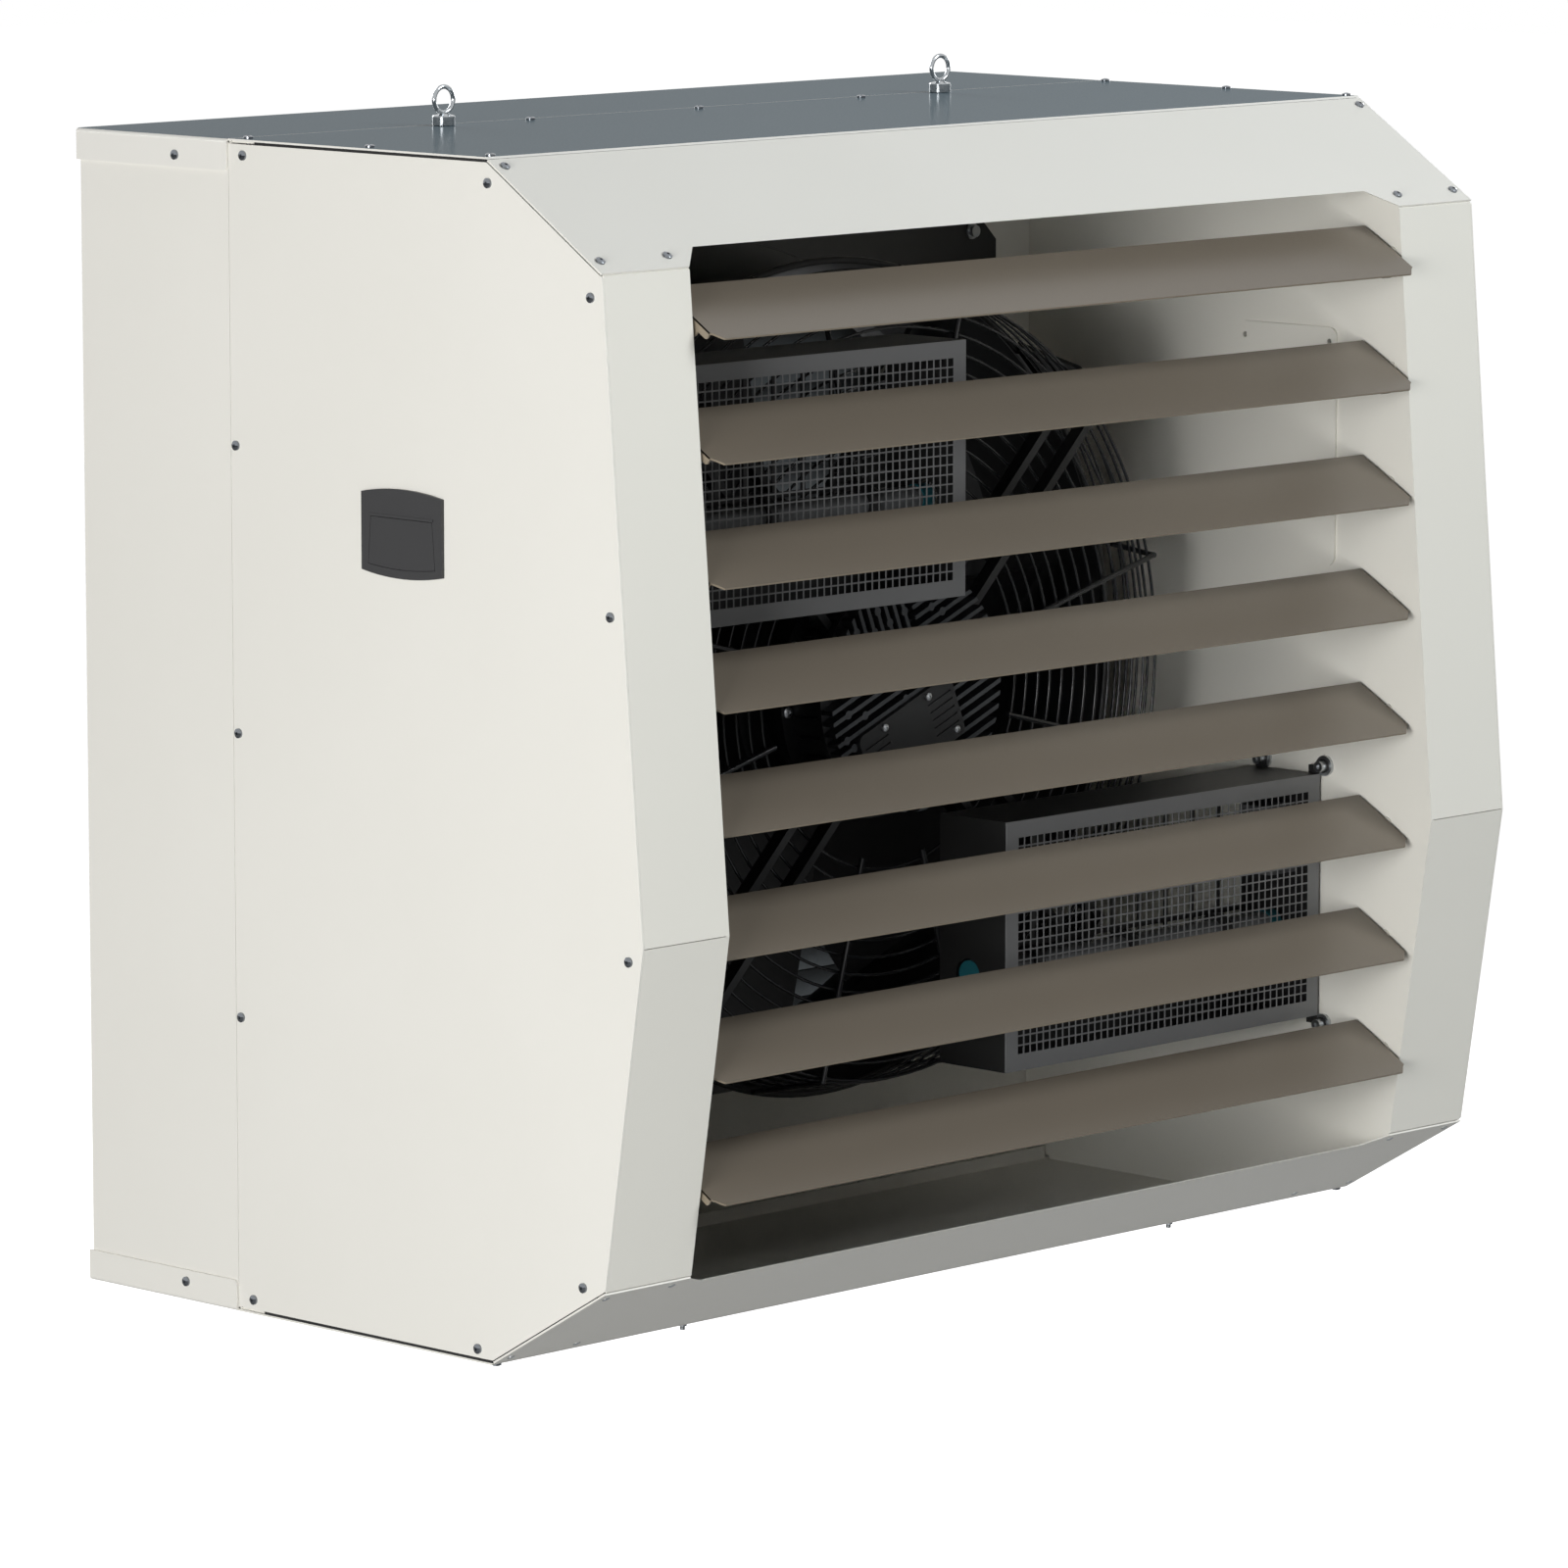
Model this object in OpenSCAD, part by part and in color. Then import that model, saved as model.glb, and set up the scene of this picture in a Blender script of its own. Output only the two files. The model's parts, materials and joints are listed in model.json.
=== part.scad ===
// Ceiling mounted fan heater: folded sheet casing, axial fan, two heating modules and eight louvres.
// Row frame: origin midway between the centres of the two hanging eyes, +X across the front to the
// right as seen from the front, +Y towards the rear, +Z up. Millimetres.
// The modules are drawn in the casing frame (x = 0 in the middle, y = 0 at the front edge of the
// roof, z = 0 under the floor sheet) and datum() moves them into the row frame.

/* [Casing] */
// Width over the two side panels
casing_w = 1300; // [1200:10:1400]
// Height from the underside of the floor to the top of the roof
casing_h = 1200; // [1160:10:1300]
// Depth of the flat roof, front edge to rear face
roof_d = 604; // [560:2:700]
// Depth of the hood, from the front edge of the roof to the seam with the rear casing
seam_y = 374; // [360:2:400]
// Thickness of the casing sheets
sheet_t = 2; // [1.5:0.25:3]
// Outside radius of the folds
fold_r = 4; // [3.5:0.25:6]
// Width of the folded edges that the screws go into
edge_w = 25; // [22:1:30]
// Assembly gap between pieces that sit against each other
seat = 0.3; // [0.1:0.05:0.5]

/* [Front outline] */
// How far the brow runs forward from the roof
brow_run = 162; // [140:1:180]
// How far the brow drops
brow_drop = 104; // [90:1:120]
// How far the sill runs forward from the floor
sill_run = 162; // [140:1:180]
// How far the sill rises
sill_rise = 94; // [80:1:105]
// How far the knee of the front strips stands in front of the roof edge
knee_run = 216; // [190:1:240]
// Height of the knee
knee_z = 443; // [350:1:550]
// Width of the front strips beside the outlet
strip_w = 119; // [100:1:130]
// Width of the joint line at the knee
knee_gap = 0.8; // [0.4:0.1:1.5]
// Depth of the brow below the mouth corners, along the slope
brow_ear = 29.5; // [20:0.5:35]
// Depth of the sill above the mouth corners, along the slope
sill_ear = 17; // [12:0.5:25]
// Width of the slanted mouth corners
ear_w = 29; // [20:1:35]
// Width of the flange of the front strips behind the side panels
post_w = 37; // [36:1:45]

/* [Seals] */
// Thickness of the foam seal under the roof
roof_seal_t = 3; // [2:0.5:4]
// Thickness of the foam seal under the brow
brow_seal_t = 1.2; // [0.8:0.1:2]
// Width of the foam seals
seal_w = 18; // [12:1:21]

/* [Rear casing] */
// Height of the cover flanges that wrap onto the side panels
wrap_h = 32; // [26:1:40]
// Corner radius of those flanges
wrap_r = 5; // [2:0.5:8]
// Width of the air intake
intake_w = 1000; // [900:10:1040]
// Height of the air intake
intake_h = 1000; // [900:10:1040]
// Corner radius of the air intake
intake_r = 30; // [15:1:50]
// Spacing of the slats of the intake grille
slat_pitch = 30; // [28:1:36]
// Width of the slats
slat_w = 56; // [50:1:60]
// Number of upright stays behind the slats
grille_stays = 5; // [3:1:7]
// How far the slats reach past the intake on each side
slat_overlap = 20; // [12:1:30]

/* [Fan] */
// Height of the fan axis above the floor
fan_z = 610; // [600:1:620]
// Radius of the nozzle throat
throat_r = 404.5; // [390:0.5:406]
// Half width of the square fan plate
plate_half = 474; // [466:1:480]
// Thickness of the fan plate
plate_t = 3; // [2:0.5:4]
// Corner cut of the fan plate
plate_cut = 50; // [30:1:60]
// Half spacing of the corner bolts of the fan plate
plate_bolt = 435; // [425:1:440]
// Radius of the bell mouth at the fan plate
mouth_r = 452; // [446:0.5:454]
// Position of the front edge of the nozzle
nozzle_y = 172; // [160:1:185]
// Radius of the nozzle at its front edge
nozzle_r = 438; // [430:1:442]
// Sheet thickness of the nozzle
nozzle_t = 2; // [1.5:0.25:3]

/* [Fan guard] */
// Position of the front rings of the fan guard
fan_guard_y = 76; // [70:1:84]
// Radius of the outermost front ring
fan_guard_r = 413.5; // [400:0.5:420]
// Radius of the innermost front ring
guard_inner_r = 191; // [185:1:200]
// Number of front rings
ring_count = 13; // [10:1:14]
// Number of rings down the side of the guard
side_ring_count = 4; // [3:1:5]
// Wire diameter of the rings
wire_d = 3.2; // [2.5:0.1:4]
// Wire diameter of the stays that the rings are welded to
stay_d = 6; // [5:0.5:7]
// Angle of the stays to the horizontal and upright lines through the fan
stay_angle = 14.5; // [12:0.5:17]
// Distance between the two bars of each motor arm, centre to centre
arm_gap = 46; // [40:1:54]
// Width of the bars
arm_w = 9; // [7:0.5:11]

/* [Motor] */
// Radius of the finned motor housing
motor_r = 128; // [122:1:134]
// Position of the front face of the motor housing
motor_y = 52; // [48:1:58]
// Depth of the motor housing
motor_d = 88; // [80:1:92]
// Height of the cooling fins
fin_h = 16; // [10:1:18]
// Spacing of the cooling fins
fin_pitch = 12; // [11:0.5:15]
// Thickness of the cooling fins
fin_t = 4.5; // [3.5:0.5:6]
// Tilt of the cooling fins and the electronics cover
fin_tilt = 22; // [15:1:35]
// Length of the electronics cover
cover_l = 148; // [140:1:156]
// Width of the electronics cover
cover_w = 68; // [60:1:72]
// Height of the electronics cover over the housing face
cover_h = 20; // [19:1:24]
// Shaft diameter
shaft_d = 20; // [16:1:25]
// Outside diameter of the two bearings
bearing_d = 42; // [38:1:47]
// Width of each bearing
bearing_w = 12; // [10:1:14]
// Radial running clearance of the shaft in its bearings
shaft_fit = 0.05; // [0.02:0.01:0.08]

/* [Impeller] */
// Gap between blade tips and nozzle throat
tip_gap = 6.5; // [5:0.5:10]
// Number of blades
blade_count = 7; // [5:1:9]
// Chord of the blades
blade_chord = 190; // [150:5:200]
// Pitch of the blades
blade_pitch = 27; // [20:1:30]
// Thickness of the blades
blade_t = 5; // [4:0.5:7]
// Rise of the blades' curve over their chord
blade_camber = 20; // [12:1:28]
// Radius of the impeller hub
hub_r = 150; // [145:1:160]
// Depth of the impeller hub
hub_d = 176; // [168:1:190]
// Position of the middle of the blades
blade_y = 272; // [262:1:280]
// Axial gap between motor housing and hub
hub_gap = 12; // [8:1:15]
// Wall of the impeller hub
hub_t = 6; // [5:0.5:8]

/* [Heating modules] */
// Width of each module
module_w = 495; // [460:5:510]
// Height of each module
module_h = 264; // [250:1:280]
// Depth of each module
module_d = 95; // [85:1:105]
// Position of the front face of the modules
module_y = -62; // [-66:1:-50]
// Height of the underside of the upper module
upper_z = 721; // [700:1:730]
// Height of the underside of the lower module
lower_z = 214; // [205:1:225]
// Sheet thickness of the modules
case_t = 1.5; // [1:0.25:2]
// Spacer thickness between module and side wall
spacer_t = 4; // [3:0.5:6]
// Diameter of the spacers behind the modules
spacer_d = 22; // [16:1:24]
// Width of the folded rim of the module case
case_rim = 12; // [8:1:15]
// Hole size of the perforated front
perf_hole = 16; // [14:0.5:17]
// Hole spacing of the perforated front
perf_pitch = 20; // [19:0.5:24]
// Hole size of the open rear panel
mesh_hole = 36; // [30:1:38]
// Hole spacing of the open rear panel
mesh_pitch = 42; // [40:1:48]
// Height of the element above the underside of its module
element_rise = 98; // [90:1:110]
// Diameter of the heating element
element_d = 26; // [20:1:28]
// Diameter of the element end caps
cap_d = 29; // [28.5:0.5:31]
// Length of the element end caps
cap_l = 16; // [10:1:24]
// Diameter of the hole in the free end of the case
end_hole_d = 34; // [33:0.5:38]
// Outside diameter of the element clips
clip_d = 40; // [36:1:44]
// Width of the element clips
clip_w = 10; // [6:1:14]
// Height of the terminal block in each module
block_h = 74; // [50:1:80]
// Width of the blanking plate over the unused module place
blank_w = 139; // [120:1:150]
// Height of the blanking plate
blank_h = 256; // [240:1:264]

/* [Louvres] */
// Height of the lowest louvre pivot
louvre_z = 188.7; // [180:0.5:195]
// Spacing of the louvre pivots
louvre_pitch = 122.4; // [118:0.2:123]
// Distance of the louvre pivots in front of the roof edge
louvre_run = 153; // [146:1:158]
// Chord of the louvre blades
louvre_chord = 90; // [70:1:95]
// Blade thickness
louvre_t = 2; // [1.5:0.25:3]
// Rise of the blade curve over its chord
louvre_camber = 1; // [1:0.5:5]
// Tilt of the blades at rest, front edge down
louvre_tilt = 30.8; // [15:0.1:45]
// Side gap between blade and wall
louvre_gap = 4.7; // [3:0.1:6]
// Length of the clipped front corners
clip_l = 12; // [10:1:30]
// Depth of the clipped front corners
clip_c = 10.5; // [4:0.5:12]
// Diameter of the pivot pins
pin_d = 6; // [5:0.5:7]
// Radial running clearance of the pins in their bushes
pin_fit = 0.05; // [0.02:0.01:0.08]
// Wall of the bushes
bush_wall = 1.5; // [1.5:0.25:2.5]
// Flange diameter of the bushes
bush_flange_d = 14; // [13:0.5:16]
// Flange thickness of the bushes
bush_flange_t = 2; // [1.5:0.25:2.5]
// Length of the bushes behind the wall
bush_l = 8; // [6:1:12]

/* [Panel handle] */
// Distance of the handle centre behind the front edge of the roof
handle_y = 119.3; // [100:1:140]
// Height of the handle centre
handle_z = 821; // [780:1:860]
// Width of the handle bezel
handle_w = 116.5; // [108:0.5:124]
// Height of the straight sides of the bezel
handle_h = 78; // [74:1:90]
// Rise of the arched ends of the bezel
handle_arch = 5.5; // [3:0.5:8]
// Thickness of the bezel on the panel
bezel_t = 3.5; // [3:0.25:5]
// Width of the top edge of the flap
flap_top_w = 88; // [80:1:90]
// Width of the bottom edge of the flap
flap_bottom_w = 96; // [92:1:98]
// Distance of the flap's top edge above the handle centre
flap_rise = 15; // [12:1:18]
// Height of the flap
flap_h = 47; // [42:1:48]
// Thickness of the flap
flap_t = 2.5; // [2:0.25:3]
// Clearance round the flap
flap_gap = 0.5; // [0.4:0.05:0.8]
// Depth of the pocket behind the panel
pocket_d = 52; // [50:1:56]
// Wall thickness of the pocket
pocket_t = 2; // [1.5:0.25:3]
// Diameter of the hinge pin
hinge_d = 3; // [2.5:0.25:3.5]
// Turns of the return spring
spring_turns = 6; // [4:1:7]
// Wire diameter of the return spring
spring_wire = 0.8; // [0.6:0.1:0.9]

/* [Hanging eyes] */
// Spacing of the two eyebolts
eye_span = 740; // [640:10:800]
// Distance of the eyebolts behind the front edge of the roof
eye_y = 356; // [352:0.5:358]
// Inside radius of the ring
ring_bore_r = 11.2; // [10:0.2:13]
// Bar diameter of the ring
ring_bar = 4.8; // [4:0.2:6]
// Width of the straight land inside the ring
ring_land = 2.4; // [1.6:0.2:3]
// Collar diameter
collar_d = 23.7; // [21:0.1:26]
// Collar height
collar_h = 12; // [8:0.5:15]
// Shank diameter
shank_d = 10; // [8:0.5:12]
// Shank length below the roof
shank_l = 30; // [26:1:40]
// Width across flats of the nut
nut_af = 17; // [16:1:19]
// Height of the nut
nut_h = 8; // [6:0.5:10]

/* [Screws] */
// Head diameter of the casing screws
head_d = 10; // [8:0.5:11]
// Head height of the casing screws
head_h = 3.4; // [2.5:0.1:5]
// Shank diameter of the casing screws
screw_d = 5; // [4:0.5:6]
// Shank length of the casing screws
screw_l = 12; // [11:0.5:15]
// Radial clearance of screws in their holes
hole_play = 0.3; // [0.2:0.05:0.5]

/* [Electrical] */
// Width of the terminal box off the side wall
box_w = 100; // [80:1:120]
// Depth of the terminal box
box_d = 170; // [150:1:180]
// Height of the terminal box
box_h = 260; // [220:1:300]
// Height of the underside of the terminal box
box_z = 130; // [100:1:200]
// Thread diameter of the cable gland
gland_d = 25; // [20:1:32]
// Cable bore radius of the gland
gland_bore_r = 7.5; // [5:0.5:9]
// Length of the gland outside the panel
gland_out = 24; // [20:1:30]

/* [Hidden] */
$fn = 96;

cream = "#E5E3DC";
strip_grey = "#D8D9D2";
slate = "#66757C";
black = "#232323";
steel = "#C9CBCC";
louvre_brown = "#6F685E";

louvre_count = 8;
half_w = casing_w / 2;
wall_x = half_w - strip_w;
eps = 1;

// ---- outline of the hood in the y-z plane, from the rear end of the roof round to the floor ----
outline = [[seam_y, casing_h], [0, casing_h], [-brow_run, casing_h - brow_drop],
    [-knee_run, knee_z], [-sill_run, sill_rise], [0, 0], [seam_y, 0]];
brow_l = norm([brow_run, brow_drop]);
sill_l = norm([sill_run, sill_rise]);
brow_tilt = atan2(brow_drop, brow_run);
sill_tilt = atan2(sill_rise, sill_run);

function unit(v) = v / norm(v);
function inward(a, b) = let (u = unit(b - a)) [-u[1], u[0]];
// Outline with each edge moved inwards by its own distance
function inset(p, d) = [for (i = [0 : len(p) - 1])
    let (j = (i + len(p) - 1) % len(p), k = (i + 1) % len(p),
        a = inward(p[j], p[i]), b = inward(p[i], p[k]), det = a[0] * b[1] - a[1] * b[0])
    p[i] + [d[j] * b[1] - d[i] * a[1], a[0] * d[i] - b[0] * d[j]] / det];
// Closed strip between two outlines, from corner a to corner b
function band(outer, inner, a, b) =
    concat([for (i = [a : b]) outer[i]], [for (i = [b : -1 : a]) inner[i]]);

// An x-z or y-z outline pulled out along the remaining axis
module along_x(x, w) translate([x, 0, 0]) rotate([90, 0, 90]) linear_extrude(w) children();
module along_y(y, d) translate([0, y + d, 0]) rotate([90, 0, 0]) linear_extrude(d) children();
module datum() translate([0, -eye_y, -eye_z]) children();
module block(low, high) translate(low) cube(high - low);
module right_hand() mirror([1, 0, 0]) children();
// Rectangle with round corners, built from true arcs
module round_rect(w, h, r) {
    square([w - 2 * r, h], center = true);
    square([w, h - 2 * r], center = true);
    for (x = [-1, 1], z = [-1, 1]) translate([x * (w / 2 - r), z * (h / 2 - r)]) circle(r);
}

// ---- stack of sheets at the roof, brow, sill and floor ----
roof_under = casing_h - sheet_t;
panel_drop = sheet_t + roof_seal_t;
panel_brow = sheet_t + brow_seal_t;
bulk_front = seam_y - sheet_t;
bulk_edge_d = 32;
bulk_edge_y = bulk_front - bulk_edge_d;
panel_edge_end = bulk_edge_y - 4;
// Outer faces of the side panel, and the same a sheet thickness further in
panel_out = inset(outline, [panel_drop, panel_brow, 0, 0, panel_brow, panel_drop, seat]);
panel_in = inset(outline, [panel_drop + sheet_t, panel_brow + sheet_t, 0, 0,
    panel_brow + sheet_t, panel_drop + sheet_t, seat]);
// Faces of the sheet that touches roof, brow, strips, sill and floor from inside
rear_cut = sheet_t + seat;
cheek_out = inset(outline, [sheet_t, sheet_t, sheet_t, sheet_t, sheet_t, sheet_t, rear_cut]);
cheek_in = inset(outline, [2 * sheet_t, 2 * sheet_t, 2 * sheet_t, 2 * sheet_t, 2 * sheet_t,
    2 * sheet_t, rear_cut]);
strip_gap = sheet_t + seat;
strip_out = inset(outline, [strip_gap, strip_gap, 0, 0, strip_gap, strip_gap, 0]);
strip_in = inset(outline, [strip_gap, strip_gap, sheet_t, sheet_t, strip_gap, strip_gap, 0]);
// Flange of the strips under the side panel, kept clear of the panel's own folded edges
post_end = 8;
post_out = inset(outline, [post_end, post_end, sheet_t, sheet_t, post_end, post_end, 0]);
post_in = inset(outline, [post_end, post_end, post_w, post_w, post_end, post_end, 0]);

// ---- screws ----
// y, z on both side faces of the hood
side_screws = [[bulk_edge_y + 12, casing_h - 16], [bulk_front - 6, 891], [bulk_front - 6, 598],
    [bulk_front - 6, 306], [bulk_edge_y + 11, 15], [-147, 1072], [-173, 764], [-197, 429],
    [-132, 97.5]];
// y, z on the panel's own folded edges
corner_screws = [[-4, casing_h - 25], [18.5, 14]];
// y, z of the cover flanges
wrap_screws = [[452, casing_h - 20], [452, 20]];
edge_x = half_w - 12;
roof_screws = concat([for (i = [-1 : 1]) [i * eye_span / 3, eye_y]],
    [for (s = [-1, 1], y = [5, eye_y / 2, eye_y + 1]) [s * edge_x, y]]);
// x, distance down the slope
brow_screws = [for (s = [-1, 1]) each [[s * (half_w - 13), 17], [s * (half_w - 13), brow_l - 18.5],
    [s * (wall_x + 15), brow_l - 18.5]]];
sill_points = [for (s = [-1, 1]) each [[s * (half_w - 13), 17], [s * (wall_x + 15), 17],
    [s * (half_w - 13), sill_l - 14], [s * (wall_x + 15), sill_l - 14]]];
rear_screws = [for (s = [-1, 1], z = [60, 0.5 * casing_h, casing_h - 60]) [s * (half_w - 14), z]];

module screw() {
    intersection() {
        cylinder(d = head_d, h = head_h);
        translate([0, 0, head_h - head_d]) sphere(r = head_d);
    }
    translate([0, 0, -screw_l]) cylinder(d = screw_d, h = screw_l + head_h / 2);
}
module screw_hole() translate([0, 0, -screw_l - eps])
    cylinder(d = screw_d + 2 * hole_play, h = screw_l + 2 * eps);
socket_d = 3.4;
module socket_screw() difference() {
    screw();
    translate([0, 0, head_h / 2]) cylinder(d = socket_d, h = head_h, $fn = 6);
}
module on_side(p) for (q = p) for (s = [-1, 1])
    translate([s * half_w, q[0], q[1]]) rotate([0, s * 90, 0]) children();
wrap_out = seat + sheet_t;
module on_wrap(p) for (q = p) for (s = [-1, 1])
    translate([s * (half_w + wrap_out), q[0], q[1]]) rotate([0, s * 90, 0]) children();
module on_roof(p) for (q = p) translate([q[0], q[1], casing_h]) children();
module on_floor(p) for (q = p) translate([q[0], q[1], 0]) rotate([180, 0, 0]) children();
module on_brow(p) for (q = p)
    translate([q[0], -q[1] * cos(brow_tilt), casing_h - q[1] * sin(brow_tilt)])
    rotate([brow_tilt, 0, 0]) children();
module on_sill(p) for (q = p)
    translate([q[0], -q[1] * cos(sill_tilt), q[1] * sin(sill_tilt)])
    rotate([180 - sill_tilt, 0, 0]) children();
module on_rear(p) for (q = p) translate([q[0], roof_d - sheet_t, q[1]]) rotate([-90, 0, 0])
    children();
module top_holes() {
    on_roof(roof_screws) screw_hole();
    on_floor(roof_screws) screw_hole();
}
module slope_holes() {
    on_brow(brow_screws) screw_hole();
    on_sill(sill_points) screw_hole();
}
module casing_screws() color(steel) datum() {
    on_side(concat(side_screws, corner_screws)) socket_screw();
    on_wrap(wrap_screws) socket_screw();
    on_roof(roof_screws) socket_screw();
    on_floor(roof_screws) socket_screw();
    on_brow(brow_screws) socket_screw();
    on_rear(rear_screws) socket_screw();
}
// Studs of the sill that come out under the floor
stud_out = 8;
module floor_studs() color("#5A5B5C") datum() for (p = floor_bolts)
    translate([p[0], p[1], -stud_out]) {
        cylinder(d = screw_d, h = stud_out + 4 * sheet_t);
        translate([0, 0, stud_out - 4]) cylinder(d = 1.8 * screw_d, h = 4, $fn = 6);
    }
rivet_h = 1.4;
module sill_rivets() color(cream) datum() on_sill(sill_points) {
    intersection() {
        cylinder(d = head_d - 2, h = rivet_h);
        translate([0, 0, rivet_h - head_d]) sphere(r = head_d);
    }
    translate([0, 0, -screw_l]) cylinder(d = screw_d, h = screw_l + rivet_h / 2);
}

// ---- rear casing ----
rear_y = roof_d - sheet_t;
frame_y = rear_y - sheet_t;
rear_lip = 30;
module rear_side() difference() {
    union() {
        block([-half_w, seam_y + seat, fold_r], [-half_w + sheet_t, frame_y, casing_h - fold_r]);
        block([-half_w, seam_y + seat, wrap_h], [-half_w + edge_w, seam_y + seat + sheet_t,
            casing_h - wrap_h]);
        block([-half_w, frame_y - sheet_t, wrap_h], [-half_w + edge_w, frame_y,
            casing_h - wrap_h]);
    }
    on_wrap(wrap_screws) screw_hole();
    on_rear(rear_screws) screw_hole();
}
gland_y = 500;
gland_z = box_z + 50;
module gland_hole() translate([half_w, gland_y, gland_z]) rotate([0, 90, 0])
    cylinder(d = gland_d + 2 * hole_play, h = 40, center = true);
module rear_side_left() color(cream) datum() rear_side();
module rear_side_right() color(cream) datum() difference() {
    right_hand() rear_side();
    gland_hole();
}

// Cover sheet folded down over both sides and the rear
cover_w2 = half_w + wrap_out;
cover_y = seam_y + 2 * seat;
module cover_section() {
    difference() {
        union() {
            translate([-cover_w2, -wrap_h]) square([2 * cover_w2, wrap_h - fold_r]);
            translate([-cover_w2 + fold_r, -fold_r]) square([2 * (cover_w2 - fold_r), fold_r]);
            for (s = [-1, 1]) translate([s * (cover_w2 - fold_r), -fold_r]) circle(fold_r);
        }
        translate([-cover_w2 + sheet_t, -wrap_h - eps])
            square([2 * (cover_w2 - sheet_t), wrap_h + eps - fold_r]);
        translate([-cover_w2 + fold_r, -fold_r - eps])
            square([2 * (cover_w2 - fold_r), fold_r + eps - sheet_t]);
        for (s = [-1, 1]) translate([s * (cover_w2 - fold_r), -fold_r])
            circle(fold_r - sheet_t);
    }
}
module cover() difference() {
    union() {
        along_y(cover_y, roof_d - cover_y) cover_section();
        block([-half_w + edge_w, rear_y, -rear_lip], [half_w - edge_w, roof_d, -sheet_t / 2]);
    }
    // round lower front corners of the two flanges
    for (s = [-1, 1]) translate([s * half_w, cover_y, -wrap_h]) rotate([90, 0, 90])
        translate([0, 0, -wrap_r * 2]) linear_extrude(wrap_r * 4) difference() {
            translate([-eps, -eps]) square(wrap_r + eps);
            translate([wrap_r, wrap_r]) circle(wrap_r);
        }
}
module rear_top_cover() color(slate) datum() difference() {
    translate([0, 0, casing_h]) cover();
    on_wrap(wrap_screws) screw_hole();
}
module rear_bottom_cover() color(cream) datum() difference() {
    mirror([0, 0, 1]) cover();
    on_wrap(wrap_screws) screw_hole();
}
module rear_frame() color(cream) datum() difference() {
    along_y(frame_y, sheet_t) difference() {
        translate([-half_w + sheet_t + seat, sheet_t + seat])
            square([casing_w - 2 * (sheet_t + seat), casing_h - 2 * (sheet_t + seat)]);
        translate([0, fan_z]) round_rect(intake_w, intake_h, intake_r);
    }
    on_rear(rear_screws) screw_hole();
}
slat_t = 1.5;
slat_tilt = 45;
slat_l = intake_w + 2 * slat_overlap;
slat_n = floor(intake_h / slat_pitch / 2);
slat_y = frame_y - seat - slat_w * cos(slat_tilt) / 2;
grille_y = slat_y - slat_w * cos(slat_tilt) / 2 - slat_t / 2 - 0.2;
// Sloping slats, lower at the outside, with flat uprights on their inner edges
module intake_grille() color(steel) datum() {
    for (i = [-slat_n : slat_n]) translate([0, slat_y, fan_z + i * slat_pitch])
        rotate([-slat_tilt, 0, 0]) cube([slat_l, slat_w - slat_t, slat_t], center = true);
    for (i = [0 : grille_stays - 1])
        translate([(i / (grille_stays - 1) - 0.5) * (slat_l - 20), grille_y, fan_z])
        cube([20, slat_t, 2 * slat_n * slat_pitch + slat_w], center = true);
}

// ---- hood ----
panel_front_end = brow_run - 12;
module side_panel() difference() {
    union() {
        along_x(-half_w, sheet_t) polygon(panel_out);
        along_x(-half_w, edge_w) intersection() {
            union() {
                polygon(band(panel_out, panel_in, 0, 2));
                polygon(band(panel_out, panel_in, 4, 6));
            }
            translate([-panel_front_end, 0]) square([panel_front_end + panel_edge_end, casing_h]);
        }
    }
    on_side(concat(side_screws, corner_screws)) screw_hole();
    top_holes();
    slope_holes();
}
handle_cut_w = 104;
handle_cut_h = 68;
module side_panel_left() color(cream) datum() difference() {
    side_panel();
    translate([-half_w, handle_y, handle_z - pocket_drop]) rotate([0, 90, 0])
        cube([handle_cut_h + 2 * seat, handle_cut_w + 2 * seat, 20], center = true);
}
module side_panel_right() color(cream) datum() right_hand() side_panel();

module foam_seals() color(black) datum() difference() {
    for (s = [0, 1]) mirror([s, 0, 0]) along_x(-half_w + 1, seal_w) intersection() {
        union() {
            polygon(band(cheek_out, panel_out, 0, 2));
            polygon(band(cheek_out, panel_out, 4, 6));
        }
        translate([-panel_front_end, 0]) square([panel_front_end + panel_edge_end, casing_h]);
    }
    top_holes();
    slope_holes();
}

module knee_slot() along_x(-half_w, strip_w - sheet_t - eps)
    translate([-knee_run - eps, knee_z - knee_gap / 2]) square([post_w + 4 * sheet_t, knee_gap]);
module cheek() difference() {
    union() {
        // duct wall beside the outlet
        along_x(-wall_x - sheet_t, sheet_t) polygon(cheek_out);
        // edges folded outwards against roof, brow, sill and floor
        along_x(-wall_x - edge_w, edge_w) union() {
            polygon(band(cheek_out, cheek_in, 0, 2));
            polygon(band(cheek_out, cheek_in, 4, 6));
        }
        // front strips and their flange under the side panel
        along_x(-half_w + sheet_t + seat, strip_w - sheet_t - seat)
            polygon(band(strip_out, strip_in, 2, 4));
        along_x(-half_w + sheet_t + seat, sheet_t) polygon(band(post_out, post_in, 2, 4));
    }
    knee_slot();
    on_side(side_screws) screw_hole();
    slope_holes();
    for (i = [0 : louvre_count - 1]) translate([-wall_x, -louvre_run, louvre_z + i * louvre_pitch])
        rotate([0, 90, 0]) cylinder(d = bush_d + 2 * seat, h = 4 * sheet_t, center = true);
    // rear ends of the folded edges clear the bulkhead's own edges
    for (z = [[0, 3 * sheet_t], [casing_h - 3 * sheet_t, casing_h]])
        block([-wall_x - edge_w - eps, bulk_edge_y - 4, z[0]], [-wall_x + eps, seam_y, z[1]]);
}
module wall_bolt_holes(z) for (p = module_bolt_points) translate([-wall_x, p[0], z + p[1]])
    rotate([0, 90, 0]) cylinder(d = bolt_d + 2 * hole_play, h = 6 * sheet_t, center = true);
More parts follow.
